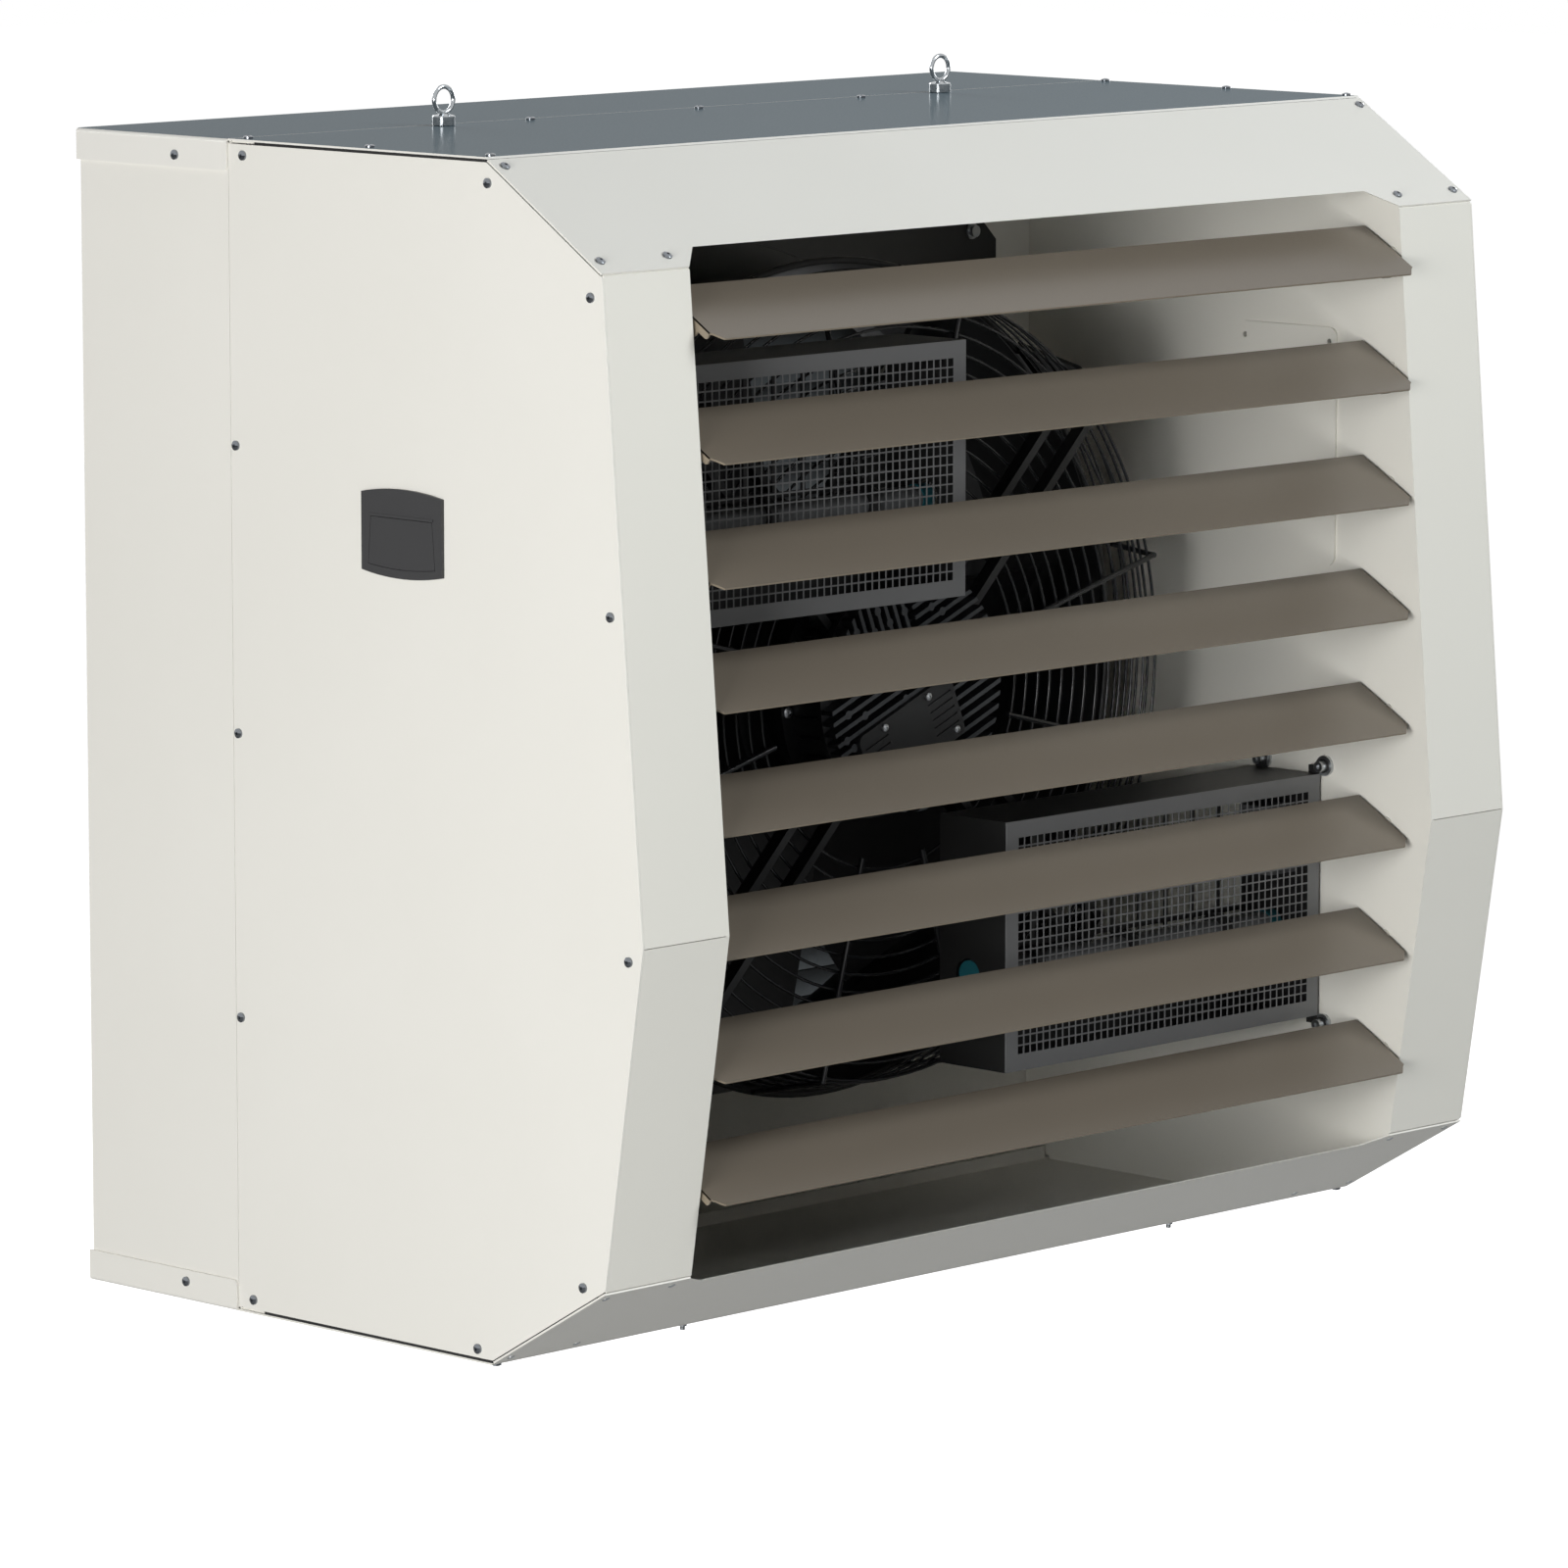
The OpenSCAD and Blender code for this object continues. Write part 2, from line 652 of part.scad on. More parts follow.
module cheek_left() color(strip_grey) datum() difference() {
    cheek();
    wall_bolt_holes(upper_z);
}
module cheek_right() color(strip_grey) datum() difference() {
    right_hand() difference() {
        cheek();
        wall_bolt_holes(lower_z);
    }
    blank_bores();
}

// roof sheet, its front edge cut in the plane of the brow
bevel = sheet_t * brow_run / brow_drop;
module eye_holes() for (s = [-1, 1]) translate([s * eye_span / 2, eye_y, casing_h])
    cylinder(d = shank_d + 2 * hole_play, h = 10 * sheet_t, center = true);
module hood_roof() color(slate) datum() difference() {
    along_x(-half_w, casing_w) polygon([[seam_y - seat, casing_h], [0, casing_h],
        [-bevel, roof_under], [seam_y - seat, roof_under]]);
    on_roof(roof_screws) screw_hole();
    eye_holes();
}
sill_bevel = sheet_t * sill_run / sill_rise;
floor_bolt_x = 370;
floor_bolt_y = 12;
floor_bolts = [[-floor_bolt_x, floor_bolt_y], [floor_bolt_x, floor_bolt_y]];
module hood_floor() color(cream) datum() difference() {
    along_x(-half_w, casing_w) polygon([[seam_y - seat, 0], [0, 0], [-sill_bevel, sheet_t],
        [seam_y - seat, sheet_t]]);
    on_floor(concat(roof_screws, floor_bolts)) screw_hole();
}
// Sloping sheet with the mouth cut into its free edge and a fold under the roof or over the floor
module slope_sheet(run, drop, ear, tilt, edge_l) difference() {
    top = sheet_t + seat;
    cut_z = drop - ear * sin(tilt);
    union() {
        difference() {
            along_x(-half_w, casing_w) polygon([[-top / tan(tilt), -top], [-run, -drop],
                [-run + sheet_t * sin(tilt), -drop - sheet_t * cos(tilt)],
                [sheet_t * sin(tilt) - top / tan(tilt), -top - sheet_t * cos(tilt)]]);
            // mouth
            along_y(-run - 30, 60 + run) polygon([[-wall_x, -drop - 9], [-wall_x, -drop],
                [-wall_x + ear_w, -cut_z], [wall_x - ear_w, -cut_z], [wall_x, -drop],
                [wall_x, -drop - 9]]);
        }
        // fold under the roof
        block([-half_w + edge_w + 5, -top / tan(tilt), -top - sheet_t],
            [half_w - edge_w - 5, edge_l, -top]);
    }
    children();
}
brow_fold = 22;
module hood_brow() color(cream) datum() difference() {
    translate([0, 0, casing_h])
        slope_sheet(brow_run, brow_drop, brow_ear, brow_tilt, brow_fold);
    on_brow(brow_screws) screw_hole();
    cheek_room();
}
module hood_sill() color(cream) datum() difference() {
    mirror([0, 0, 1]) slope_sheet(sill_run, sill_rise, sill_ear, sill_tilt, brow_fold);
    on_sill(sill_points) screw_hole();
    on_floor(floor_bolts) screw_hole();
    cheek_room();
}
// room for the cheeks where the folds of brow and sill pass them
module cheek_room() for (s = [0, 1]) mirror([s, 0, 0])
    along_x(-wall_x - edge_w - seat, edge_w + 2 * seat) polygon(cheek_out);

// ---- bulkhead between hood and rear casing ----
bulk_hole_r = mouth_r + nozzle_t + 6;
upstand_h = 14;
module bulkhead() color(cream) datum() difference() {
    union() {
        along_y(bulk_front, sheet_t) difference() {
            translate([-half_w + sheet_t, sheet_t])
                square([casing_w - 2 * sheet_t, casing_h - 2 * sheet_t]);
            translate([0, fan_z]) circle(bulk_hole_r);
        }
        for (s = [0, 1]) mirror([s, 0, 0])
            block([-half_w + sheet_t, bulk_edge_y, 3 * sheet_t],
                [-half_w + 2 * sheet_t, bulk_front + sheet_t, casing_h - 3 * sheet_t]);
        block([-half_w + 2 * sheet_t, bulk_edge_y, roof_under - sheet_t],
            [half_w - 2 * sheet_t, bulk_front + sheet_t, roof_under]);
        block([-half_w + 2 * sheet_t, bulk_edge_y, sheet_t],
            [half_w - 2 * sheet_t, bulk_front + sheet_t, 2 * sheet_t]);
        block([-wall_x + 2, bulk_edge_y, sheet_t], [wall_x - 2, bulk_edge_y + sheet_t,
            sheet_t + upstand_h]);
    }
    on_side(side_screws) screw_hole();
    top_holes();
    eye_holes();
    on_fan_plate() cylinder(d = bolt_d + 2 * hole_play, h = 20, center = true);
}

// ---- fan ----
bolt_d = 6;
module at_fan() translate([0, 0, fan_z]) rotate([-90, 0, 0]) children();
module on_fan_plate() for (x = [-1, 1], z = [-1, 1])
    translate([x * plate_bolt, bulk_front, fan_z + z * plate_bolt]) rotate([-90, 0, 0])
    children();
plate_y = bulk_front - plate_t;
bell_r = mouth_r - throat_r;
throat_y = plate_y + plate_t - bell_r;
straight_l = 30;
bead_r = 4;
// Radial section of the nozzle: bell mouth, throat, flared outlet with a rolled edge
module nozzle_section() {
    difference() {
        translate([mouth_r, throat_y]) difference() {
            circle(bell_r);
            circle(bell_r - nozzle_t);
        }
        translate([mouth_r, throat_y - 2 * bell_r]) square([2 * bell_r, 4 * bell_r]);
        translate([mouth_r - 2 * bell_r, throat_y - 2 * bell_r]) square([4 * bell_r, 2 * bell_r]);
    }
    translate([throat_r, throat_y - straight_l]) square([nozzle_t, straight_l]);
    polygon([[throat_r, throat_y - straight_l], [nozzle_r, nozzle_y],
        [nozzle_r + nozzle_t, nozzle_y], [throat_r + nozzle_t, throat_y - straight_l]]);
    translate([nozzle_r + bead_r - nozzle_t, nozzle_y]) circle(bead_r, $fn = 32);
}
module fan_plate() color(black) datum() difference() {
    union() {
        along_y(plate_y, plate_t) translate([0, fan_z]) difference() {
            intersection() {
                square(2 * plate_half, center = true);
                rotate(45) square(2 * (plate_half * sqrt(2) - plate_cut / sqrt(2)),
                    center = true);
            }
            circle(mouth_r);
        }
        at_fan() rotate_extrude($fn = 180) nozzle_section();
    }
    on_fan_plate() cylinder(d = bolt_d + 2 * hole_play, h = 20, center = true);
}

ring_step = (fan_guard_r - guard_inner_r) / (ring_count - 1);
stay_y = fan_guard_y - (wire_d + stay_d) / 2 - 0.2;
stay_r = fan_guard_r + (wire_d + stay_d) / 2 + 0.2;
stay_in = guard_inner_r - 10;
module guard_ring(r, y) translate([0, y, fan_z]) rotate([90, 0, 0])
    rotate_extrude($fn = 120) translate([r, 0]) circle(d = wire_d, $fn = 16);
// One stay: radial wire before the rings, elbow and leg back to the nozzle bead
leg_foot = nozzle_y - bead_r - seat;
leg = [nozzle_r + stay_d / 2 - stay_r, leg_foot - stay_y];
leg_tilt = atan2(leg[0], leg[1]);
module stay(a) translate([0, 0, fan_z]) rotate([0, -a, 0]) {
    translate([stay_in, stay_y, 0]) rotate([0, 90, 0]) cylinder(d = stay_d, h = stay_r - stay_in);
    translate([stay_r, stay_y, 0]) sphere(d = stay_d + 0.6);
    translate([stay_r, stay_y, 0]) rotate([0, 0, -leg_tilt])
        rotate([-90, 0, 0]) cylinder(d = stay_d, h = norm(leg));
}
// side rings lie on the inside of the legs
side_ring_r = stay_r - ((stay_d + wire_d) / 2 + 0.2) / cos(leg_tilt);
module fan_guard() color(black) datum() {
    for (i = [0 : ring_count - 1]) guard_ring(guard_inner_r + i * ring_step, fan_guard_y);
    for (i = [1 : side_ring_count]) let (t = i / (side_ring_count + 1))
        guard_ring(side_ring_r + t * leg[0], stay_y + t * leg[1]);
    for (q = [0 : 90 : 270], s = [-1, 1]) stay(q + s * stay_angle);
}
// Four motor arms: two bars from the flange of the housing to a plate bent back to the nozzle
arm_d = 16;
arm_y = fan_guard_y - wire_d / 2 - seat - arm_d;
arm_plate_t = 4;
arm_plate_w = arm_gap + arm_w + 6;
arm_plate_r = 10;
arm_lip = 1.5;
arm_front = arm_y - arm_lip;
arm_r = stay_r - (stay_y - arm_front) * tan(leg_tilt);
arm_plate_l = (leg_foot - arm_front) / cos(leg_tilt) - 0.5;
module arm_plate() {
    translate([-arm_plate_w / 2, arm_plate_r]) square([arm_plate_w, arm_plate_l - arm_plate_r]);
    translate([arm_plate_r - arm_plate_w / 2, 0])
        square([arm_plate_w - 2 * arm_plate_r, arm_plate_l]);
    for (s = [-1, 1]) translate([s * (arm_plate_w / 2 - arm_plate_r), arm_plate_r])
        circle(arm_plate_r);
}
module motor_arms() color(black) datum() for (q = [45 : 90 : 315])
    translate([0, 0, fan_z]) rotate([0, -q, 0]) {
        for (s = [-1, 1]) translate([0, 0, s * arm_gap / 2]) {
            block([motor_r + seat, arm_y, -arm_w / 2],
                [arm_r + arm_plate_t / 2, arm_y + arm_d, arm_w / 2]);
            block([motor_r + seat, arm_y, -arm_w / 2], [flange_r, flange_z - seat, arm_w / 2]);
        }
        translate([arm_r, arm_front, 0]) rotate([0, 0, -leg_tilt]) rotate([0, 90, 0])
            linear_extrude(arm_plate_t) arm_plate();
        // foot on the bead of the nozzle
        block([nozzle_r - bead_r, leg_foot - arm_plate_t, -arm_gap / 2],
            [nozzle_r + stay_d / 2 + arm_plate_t / 2, leg_foot, arm_gap / 2]);
    }

fin_n = floor(motor_r / fin_pitch);
fin_split = 26;
fin_turn = 45;
flange_r = 140;
flange_t = 12;
flange_z = motor_y + 46;
flange_bolt_r = 131;
side_rib_n = 36;
// Round bosses on the fins, along and across the fin direction
boss_at = [[-101, 2], [-79, 1], [-113, 0], [-18, 0], [-106, -1], [52, 6], [65, 5]];
cross_boss_at = [[7, 98], [5, 86], [3, 85], [2, 68], [1, 86], [4, 104], [6, 87]];
module fins() {
    // lower fins run along the tilt, the upper left ones across it
    for (i = [-fin_n : fin_n]) let (v = i * fin_pitch, u = v > fin_turn ? fin_split : -motor_r)
        translate([u, v - fin_t / 2]) square([motor_r - u, fin_t]);
    for (i = [1 : fin_n]) translate([fin_split - i * fin_pitch - fin_t / 2, fin_turn])
        square([fin_t, motor_r]);
    for (p = boss_at) translate([p[0], p[1] * fin_pitch]) circle(d = 2 * fin_t, $fn = 32);
    for (p = cross_boss_at) translate([fin_split - p[0] * fin_pitch, p[1]])
        circle(d = 2 * fin_t, $fn = 32);
}
// Cast housing with cooling fins on its front face, ribs on its side and seats for two bearings
module motor_housing() color(black) datum() at_fan() difference() {
    union() {
        translate([0, 0, motor_y]) cylinder(r = motor_r - 4, h = motor_d);
        translate([0, 0, motor_y]) for (i = [0 : side_rib_n - 1]) rotate(i * 360 / side_rib_n)
            translate([0, -1.5, 0]) cube([motor_r, 3, flange_z - motor_y - 6]);
        translate([0, 0, motor_y]) cylinder(r = motor_r, h = 6);
        translate([0, 0, flange_z]) cylinder(r = flange_r, h = flange_t);
        translate([0, 0, motor_y - fin_h]) linear_extrude(fin_h + eps) intersection() {
            circle(motor_r - 1);
            rotate(-fin_tilt) mirror([0, 1]) fins();
        }
    }
    // flat seat of the electronics cover
    at_cover(motor_y - fin_h - eps) translate([-cover_l / 2 - 1, -cover_w / 2 - 1, 0])
        cube([cover_l + 2, cover_w + 2, fin_h + eps]);
    at_cover(motor_y) for (p = cover_screw_points) translate([p[0], p[1], -eps])
        cylinder(d = cover_screw_d + 2 * hole_play, h = 14);
    flange_bolts(-20) cylinder(d = bolt_d + 2 * hole_play, h = 40);
    translate([0, 0, motor_y + 12]) cylinder(d = shaft_d + 8, h = motor_d);
    for (z = [motor_y + 14, motor_y + motor_d - 14 - bearing_w])
        translate([0, 0, z]) cylinder(d = bearing_d, h = bearing_w);
    translate([0, 0, motor_y + motor_d - 14]) cylinder(d = bearing_d, h = 15);
}
module flange_bolts(z) for (q = [0 : 90 : 270], a = [-7, 23]) rotate(q + a)
    translate([flange_bolt_r, 0, flange_z + z]) children();
cover_at = [-11, 45];
cover_screw_d = 4;
rib_n = 5;
module at_cover(z) translate([cover_at[0], cover_at[1], z]) rotate(-fin_tilt) children();
module electronics_cover() color(black) datum() at_fan() at_cover(motor_y - cover_h)
    difference() {
        translate([0, 0, cover_h / 2]) linear_extrude(cover_h, center = true)
            round_rect(cover_l, cover_w, 8);
        // shallow grooves near both ends
        for (s = [-1, 1], i = [0 : rib_n - 1])
            translate([s * cover_l * 0.34, (i - (rib_n - 1) / 2) * 9, 0])
            cube([36, 2, 3], center = true);
        for (p = cover_screw_points) translate([p[0], p[1], -eps])
            cylinder(d = cover_screw_d + 2 * hole_play, h = cover_h + 2 * eps);
    }
cover_screw_points = [[-35, -cover_w / 2 + 7], [35, -cover_w / 2 + 7],
    [cover_l / 2 - 13, cover_w / 2 - 9], [-cover_l / 2 + 13, cover_w / 2 - 9]];
module motor_bearings() color(steel) datum() at_fan()
    for (z = [motor_y + 14, motor_y + motor_d - 14 - bearing_w]) translate([0, 0, z])
        difference() {
            cylinder(d = bearing_d - 0.1, h = bearing_w);
            translate([0, 0, -eps]) cylinder(d = shaft_d + 2 * shaft_fit, h = bearing_w + 2 * eps);
        }
washer_d = 18;
module fan_screws() color(steel) datum() {
    on_fan_plate() translate([0, 0, -plate_t]) mirror([0, 0, 1]) {
        cylinder(d = washer_d, h = 1.6);
        cylinder(d = 13, h = 7);
        translate([0, 0, -plate_t - sheet_t - 10]) cylinder(d = bolt_d, h = 12 + plate_t + sheet_t);
    }
    at_fan() at_cover(motor_y - cover_h) for (p = cover_screw_points) translate([p[0], p[1], 0])
        small_screw(cover_screw_d, cover_h + 10);
    at_fan() flange_bolts(0) small_screw(bolt_d, flange_t + 6);
}
module small_screw(d, l) {
    mirror([0, 0, 1]) difference() {
        intersection() {
            cylinder(d = 2 * d, h = head_h);
            translate([0, 0, head_h - 2 * d]) sphere(r = 2 * d);
        }
        translate([0, 0, head_h / 2]) cylinder(d = 0.8 * d, h = head_h, $fn = 6);
    }
    cylinder(d = d, h = l);
}

hub_y = motor_y + motor_d + hub_gap;
tip_r = throat_r - tip_gap;
shaft_end = 40;
blade_arc_r = (pow(blade_chord / 2, 2) + pow(blade_camber, 2)) / (2 * blade_camber);
// Curved plate seen along a radius, bulging towards the rear
module blade_section() intersection() {
    translate([0, blade_camber / 2 - blade_arc_r]) difference() {
        circle(blade_arc_r + blade_t / 2, $fn = 180);
        circle(blade_arc_r - blade_t / 2, $fn = 180);
    }
    translate([-blade_chord / 2, -blade_camber]) square([blade_chord, 2 * blade_camber]);
}
module impeller() color(black) datum() at_fan() difference() {
    union() {
        translate([0, 0, hub_y]) difference() {
            cylinder(r = hub_r, h = hub_d);
            translate([0, 0, -eps]) cylinder(r = hub_r - hub_t, h = hub_d - hub_t + eps);
        }
        // boss that the shaft is pressed into
        translate([0, 0, hub_y + hub_d - shaft_end]) cylinder(d = 2 * shaft_d, h = shaft_end);
        intersection() {
            difference() {
                cylinder(r = tip_r, h = hub_y + 2 * hub_d);
                translate([0, 0, -eps]) cylinder(r = hub_r - hub_t / 2, h = hub_y + 2 * hub_d + 2 * eps);
            }
            for (i = [0 : blade_count - 1]) rotate(i * 360 / blade_count)
                translate([0, 0, blade_y]) rotate([blade_pitch, 0, 0]) rotate([90, 0, 90])
                linear_extrude(throat_r) blade_section();
        }
    }
    translate([0, 0, hub_y + hub_d - shaft_end - eps]) cylinder(d = shaft_d, h = shaft_end + 3 - hub_t);
}
module rotor_shaft() color(steel) datum() at_fan()
    translate([0, 0, motor_y + 13]) cylinder(d = shaft_d, h = hub_y + hub_d - motor_y - 13 - hub_t + 1);

// ---- heating modules, drawn for the left wall with the wall end at x = 0 ----
ear_d = 15;
ear_rise = 9;
module_bolt_points = [for (y = [module_y - 5, module_y + module_d - 12],
    z = [-ear_rise, module_h + ear_rise]) [y, z]];
inner_x = wall_x - spacer_t;
module at_upper() translate([-inner_x, 0, upper_z]) children();
module at_lower() right_hand() translate([-inner_x, 0, lower_z]) children();
element_y = module_y + 0.58 * module_d;
module module_case() difference() {
    union() {
        difference() {
            block([0, module_y + case_t, 0], [module_w, module_y + module_d - case_t, module_h]);
            block([case_t, module_y - eps, case_t],
                [module_w - case_t, module_y + module_d + eps, module_h - case_t]);
        }
        // rim behind the perforated front and before the open rear
        for (y = [module_y + case_t, module_y + module_d - 2 * case_t])
            along_y(y, case_t) difference() {
                square([module_w, module_h]);
                translate([case_rim, case_rim])
                    square([module_w - 2 * case_rim, module_h - 2 * case_rim]);
            }
        // bolt ears beyond the corners of the wall end
        along_x(0, case_t) for (p = module_bolt_points) {
            translate(p) circle(d = ear_d);
            translate([max(p[0], module_y + ear_d / 2), p[1] < 0 ? 0 : module_h])
                square([ear_d, 2 * ear_rise], center = true);
        }
    }
    // slot of the perforated front
    block([-eps, module_y - ear_d, 0], [module_w + eps, module_y + case_t, module_h]);
    translate([module_w, element_y, element_rise]) rotate([0, 90, 0])
        cylinder(d = end_hole_d, h = 4 * case_t, center = true);
    for (p = module_bolt_points) translate([0, p[0], p[1]]) rotate([0, 90, 0])
        cylinder(d = bolt_d + 2 * hole_play, h = 4 * case_t, center = true);
}
perf_nx = floor((module_w - 30) / perf_pitch);
perf_nz = floor((module_h - 30) / perf_pitch);
mesh_nx = floor((module_w - 30) / mesh_pitch);
mesh_nz = floor((module_h - 30) / mesh_pitch);
module hole_grid(nx, nz, pitch, hole) for (i = [0 : nx - 1], k = [0 : nz - 1])
    translate([module_w / 2 + (i - (nx - 1) / 2) * pitch, module_h / 2 + (k - (nz - 1) / 2) * pitch])
    square(hole, center = true);
module module_front() along_y(module_y, case_t) difference() {
    square([module_w, module_h]);
    hole_grid(perf_nx, perf_nz, perf_pitch, perf_hole);
}
module module_rear() along_y(module_y + module_d - case_t, case_t) difference() {
    square([module_w, module_h]);
    hole_grid(mesh_nx, mesh_nz, mesh_pitch, mesh_hole);
}
element_x = case_t + 12;
element_end = module_w - case_t - 1;
module on_element(x) translate([x, element_y, element_rise]) rotate([0, 90, 0]) children();
module element() on_element(element_x + cap_l / 2)
    cylinder(d = element_d, h = element_end - element_x - cap_l);
module caps() for (x = [element_x, element_end - cap_l]) on_element(x) difference() {
    cylinder(d = cap_d, h = cap_l);
    translate([0, 0, x == element_x ? cap_l / 2 - seat : -eps])
        cylinder(d = element_d + 0.1, h = cap_l / 2 + seat + eps);
}
rail_t = 2;
rail_z = element_rise - clip_d / 2 - rail_t + 1;
clip_at = [0.2, 0.5, 0.8];
module clips() {
    for (f = clip_at) on_element(f * module_w) difference() {
        cylinder(d = clip_d, h = clip_w);
        translate([0, 0, -eps]) cylinder(d = element_d + 0.2, h = clip_w + 2 * eps);
    }
    // rail that carries the clips from end wall to end wall
    block([case_t, element_y - 16, rail_z], [module_w - case_t, element_y + 16, rail_z + rail_t]);
}
block_w = 42;
block_z = 154;
module terminal_part() {
    block([case_t, element_y - 22, block_z], [case_t + block_w, element_y + 22, block_z + block_h]);
    for (i = [0 : 2]) translate([case_t + block_w, element_y, block_z + (i + 0.5) * block_h / 3])
        rotate([0, 90, 0]) cylinder(d = 14, h = 8);
}
module bolts() for (p = module_bolt_points) translate([0, p[0], p[1]]) rotate([0, 90, 0])
    difference() {
        union() {
            translate([0, 0, case_t]) cylinder(d = 2 * bolt_d, h = bolt_d + 2);
            translate([0, 0, case_t]) mirror([0, 0, 1])
                cylinder(d = bolt_d, h = case_t + spacer_t + sheet_t + 8);
            translate([0, 0, -spacer_t]) cylinder(d = spacer_d, h = spacer_t - 0.02);
        }
        translate([0, 0, case_t + 4]) cylinder(d = 5, h = 7, $fn = 6);
    }
module module_case_upper() color(black) datum() at_upper() module_case();
module module_case_lower() color(black) datum() at_lower() module_case();
module module_front_upper() color("#5F5E5C") datum() at_upper() module_front();
module module_front_lower() color("#5F5E5C") datum() at_lower() module_front();
module module_rear_upper() color(black) datum() at_upper() module_rear();
module module_rear_lower() color(black) datum() at_lower() module_rear();
module element_upper() color("#7A7C7E") datum() at_upper() element();
module element_lower() color("#7A7C7E") datum() at_lower() element();
module element_clips() color(black) datum() { at_upper() clips(); at_lower() clips(); }
module element_caps() color("#2F7F8C") datum() { at_upper() caps(); at_lower() caps(); }
module terminal_blocks() color("#6A6B6C") datum() {
    at_upper() terminal_part();
    at_lower() terminal_part();
}
module module_bolts() color(steel) datum() { at_upper() bolts(); at_lower() bolts(); }

// Cover over the unused module place on the right wall
blank_t = 3;
blank_y = module_y + 0.56 * module_d;
blank_z = upper_z + 0.424 * module_h;
blank_holes = [for (s = [-1, 1]) [blank_y + s * (blank_w / 2 - 9.5), blank_z + blank_h / 2 - 15]];
module blanking_plate() color(strip_grey) datum() difference() {
    along_x(wall_x - blank_t, blank_t) translate([blank_y, blank_z]) round_rect(blank_w, blank_h, 10);
    blank_bores();
}
module blank_bores() for (p = blank_holes) translate([wall_x, p[0], p[1]]) rotate([0, 90, 0])
    cylinder(d = bolt_d, h = 20, center = true);

// ---- louvres ----
bush_d = pin_d + 2 * bush_wall;
louvre_half = wall_x - louvre_gap;
arc_r = (pow(louvre_chord / 2, 2) + pow(louvre_camber, 2)) / (2 * louvre_camber);
arc_half = asin(louvre_chord / 2 / arc_r);
arc_steps = 10;
function louvre_arc(r) = [for (i = [0 : arc_steps]) let (a = 90 + arc_half * (1 - 2 * i / arc_steps))
    [r * cos(a), r * sin(a) - arc_r + louvre_camber]];
module louvre_section(t) polygon(concat(louvre_arc(arc_r), [for (i = [arc_steps : -1 : 0])
    louvre_arc(arc_r - t)[i]]));
end_rim = 9;
tab_w = 40;
tab_h = 17;
hand_tab_x = 45;
// Curved blade with folded ends, pivot tabs and pins, level about its pivot axis
module louvre_blade() {
    pivot_drop = 5;
    difference() {
        translate([0, 0, pivot_drop]) {
            along_x(-louvre_half, 2 * louvre_half) louvre_section(louvre_t);
            for (s = [0, 1]) mirror([s, 0, 0]) along_x(-louvre_half, louvre_t)
                louvre_section(end_rim);
        }
        // clipped front corners
        for (s = [0, 1]) mirror([s, 0, 0]) translate([-louvre_half, -louvre_chord / 2, -20])
            linear_extrude(60) polygon([[-eps, -eps], [clip_l, -eps], [clip_l, 0],
                [clip_l * 0.35, clip_c * 0.75], [0, clip_c], [-eps, clip_c]]);
    }
    for (s = [0, 1]) mirror([s, 0, 0]) {
        translate([-louvre_half, -tab_w / 2, pivot_drop - tab_h]) cube([louvre_t, tab_w, tab_h]);
        translate([-louvre_half - louvre_gap - bush_l - sheet_t, 0, 0]) rotate([0, 90, 0])
            cylinder(d = pin_d, h = bush_l + sheet_t + louvre_gap + louvre_t + 4);
    }
    // grip under the front edge
    translate([louvre_half - hand_tab_x - 8, -louvre_chord / 2 + 3, pivot_drop - 6])
        cube([16, 8, 5.5]);
}
module louvre(i) color(louvre_brown) datum()
    translate([0, -louvre_run, louvre_z + i * louvre_pitch]) rotate([louvre_tilt, 0, 0])
    louvre_blade();
module louvre_1() louvre(0);
module louvre_2() louvre(1);
module louvre_3() louvre(2);
module louvre_4() louvre(3);
module louvre_5() louvre(4);
module louvre_6() louvre(5);
module louvre_7() louvre(6);
module louvre_8() louvre(7);
module bush() difference() {
    union() {
        cylinder(d = bush_flange_d, h = bush_flange_t);
        mirror([0, 0, 1]) cylinder(d = bush_d, h = sheet_t + bush_l);
    }
    translate([0, 0, -sheet_t - bush_l - eps])
        cylinder(d = pin_d + 2 * pin_fit, h = sheet_t + bush_l + bush_flange_t + 2 * eps);
}
module louvre_bushes() color(black) datum() for (i = [0 : louvre_count - 1], s = [0, 1])
    mirror([s, 0, 0]) translate([-wall_x, -louvre_run, louvre_z + i * louvre_pitch])
    rotate([0, 90, 0]) bush();

// ---- panel handle on the left side, drawn looking at the panel: u = y, v = z ----
arch_r = (pow(handle_w / 2, 2) + pow(handle_arch, 2)) / (2 * handle_arch);
module at_handle() translate([-half_w, handle_y, handle_z]) children();
// Outline pulled out along -X from a depth below the panel face
module outwards(from, to) along_x(-to, to - from) children();
module bezel_outline() intersection() {
    translate([-handle_w / 2, -handle_h]) square([handle_w, 2 * handle_h]);
    translate([0, handle_h / 2 + handle_arch - arch_r]) circle(arch_r, $fn = 360);
    translate([0, arch_r - handle_h / 2 - handle_arch]) circle(arch_r, $fn = 360);
}
flap_arch = 3.2;
flap_arc_r = (pow(flap_bottom_w / 2, 2) + pow(flap_arch, 2)) / (2 * flap_arch);
module flap_outline(g) intersection() {
    polygon([[-flap_top_w / 2 - g, flap_rise + g], [flap_top_w / 2 + g, flap_rise + g],
        [flap_bottom_w / 2 + g, flap_rise - flap_h], [flap_bottom_w / 2 + g, flap_rise - flap_h - 9],
        [-flap_bottom_w / 2 - g, flap_rise - flap_h - 9], [-flap_bottom_w / 2 - g, flap_rise - flap_h]]);
    translate([0, flap_rise - flap_h - flap_arch - g + flap_arc_r])
        circle(flap_arc_r, $fn = 360);
}
pocket_w = handle_cut_w;
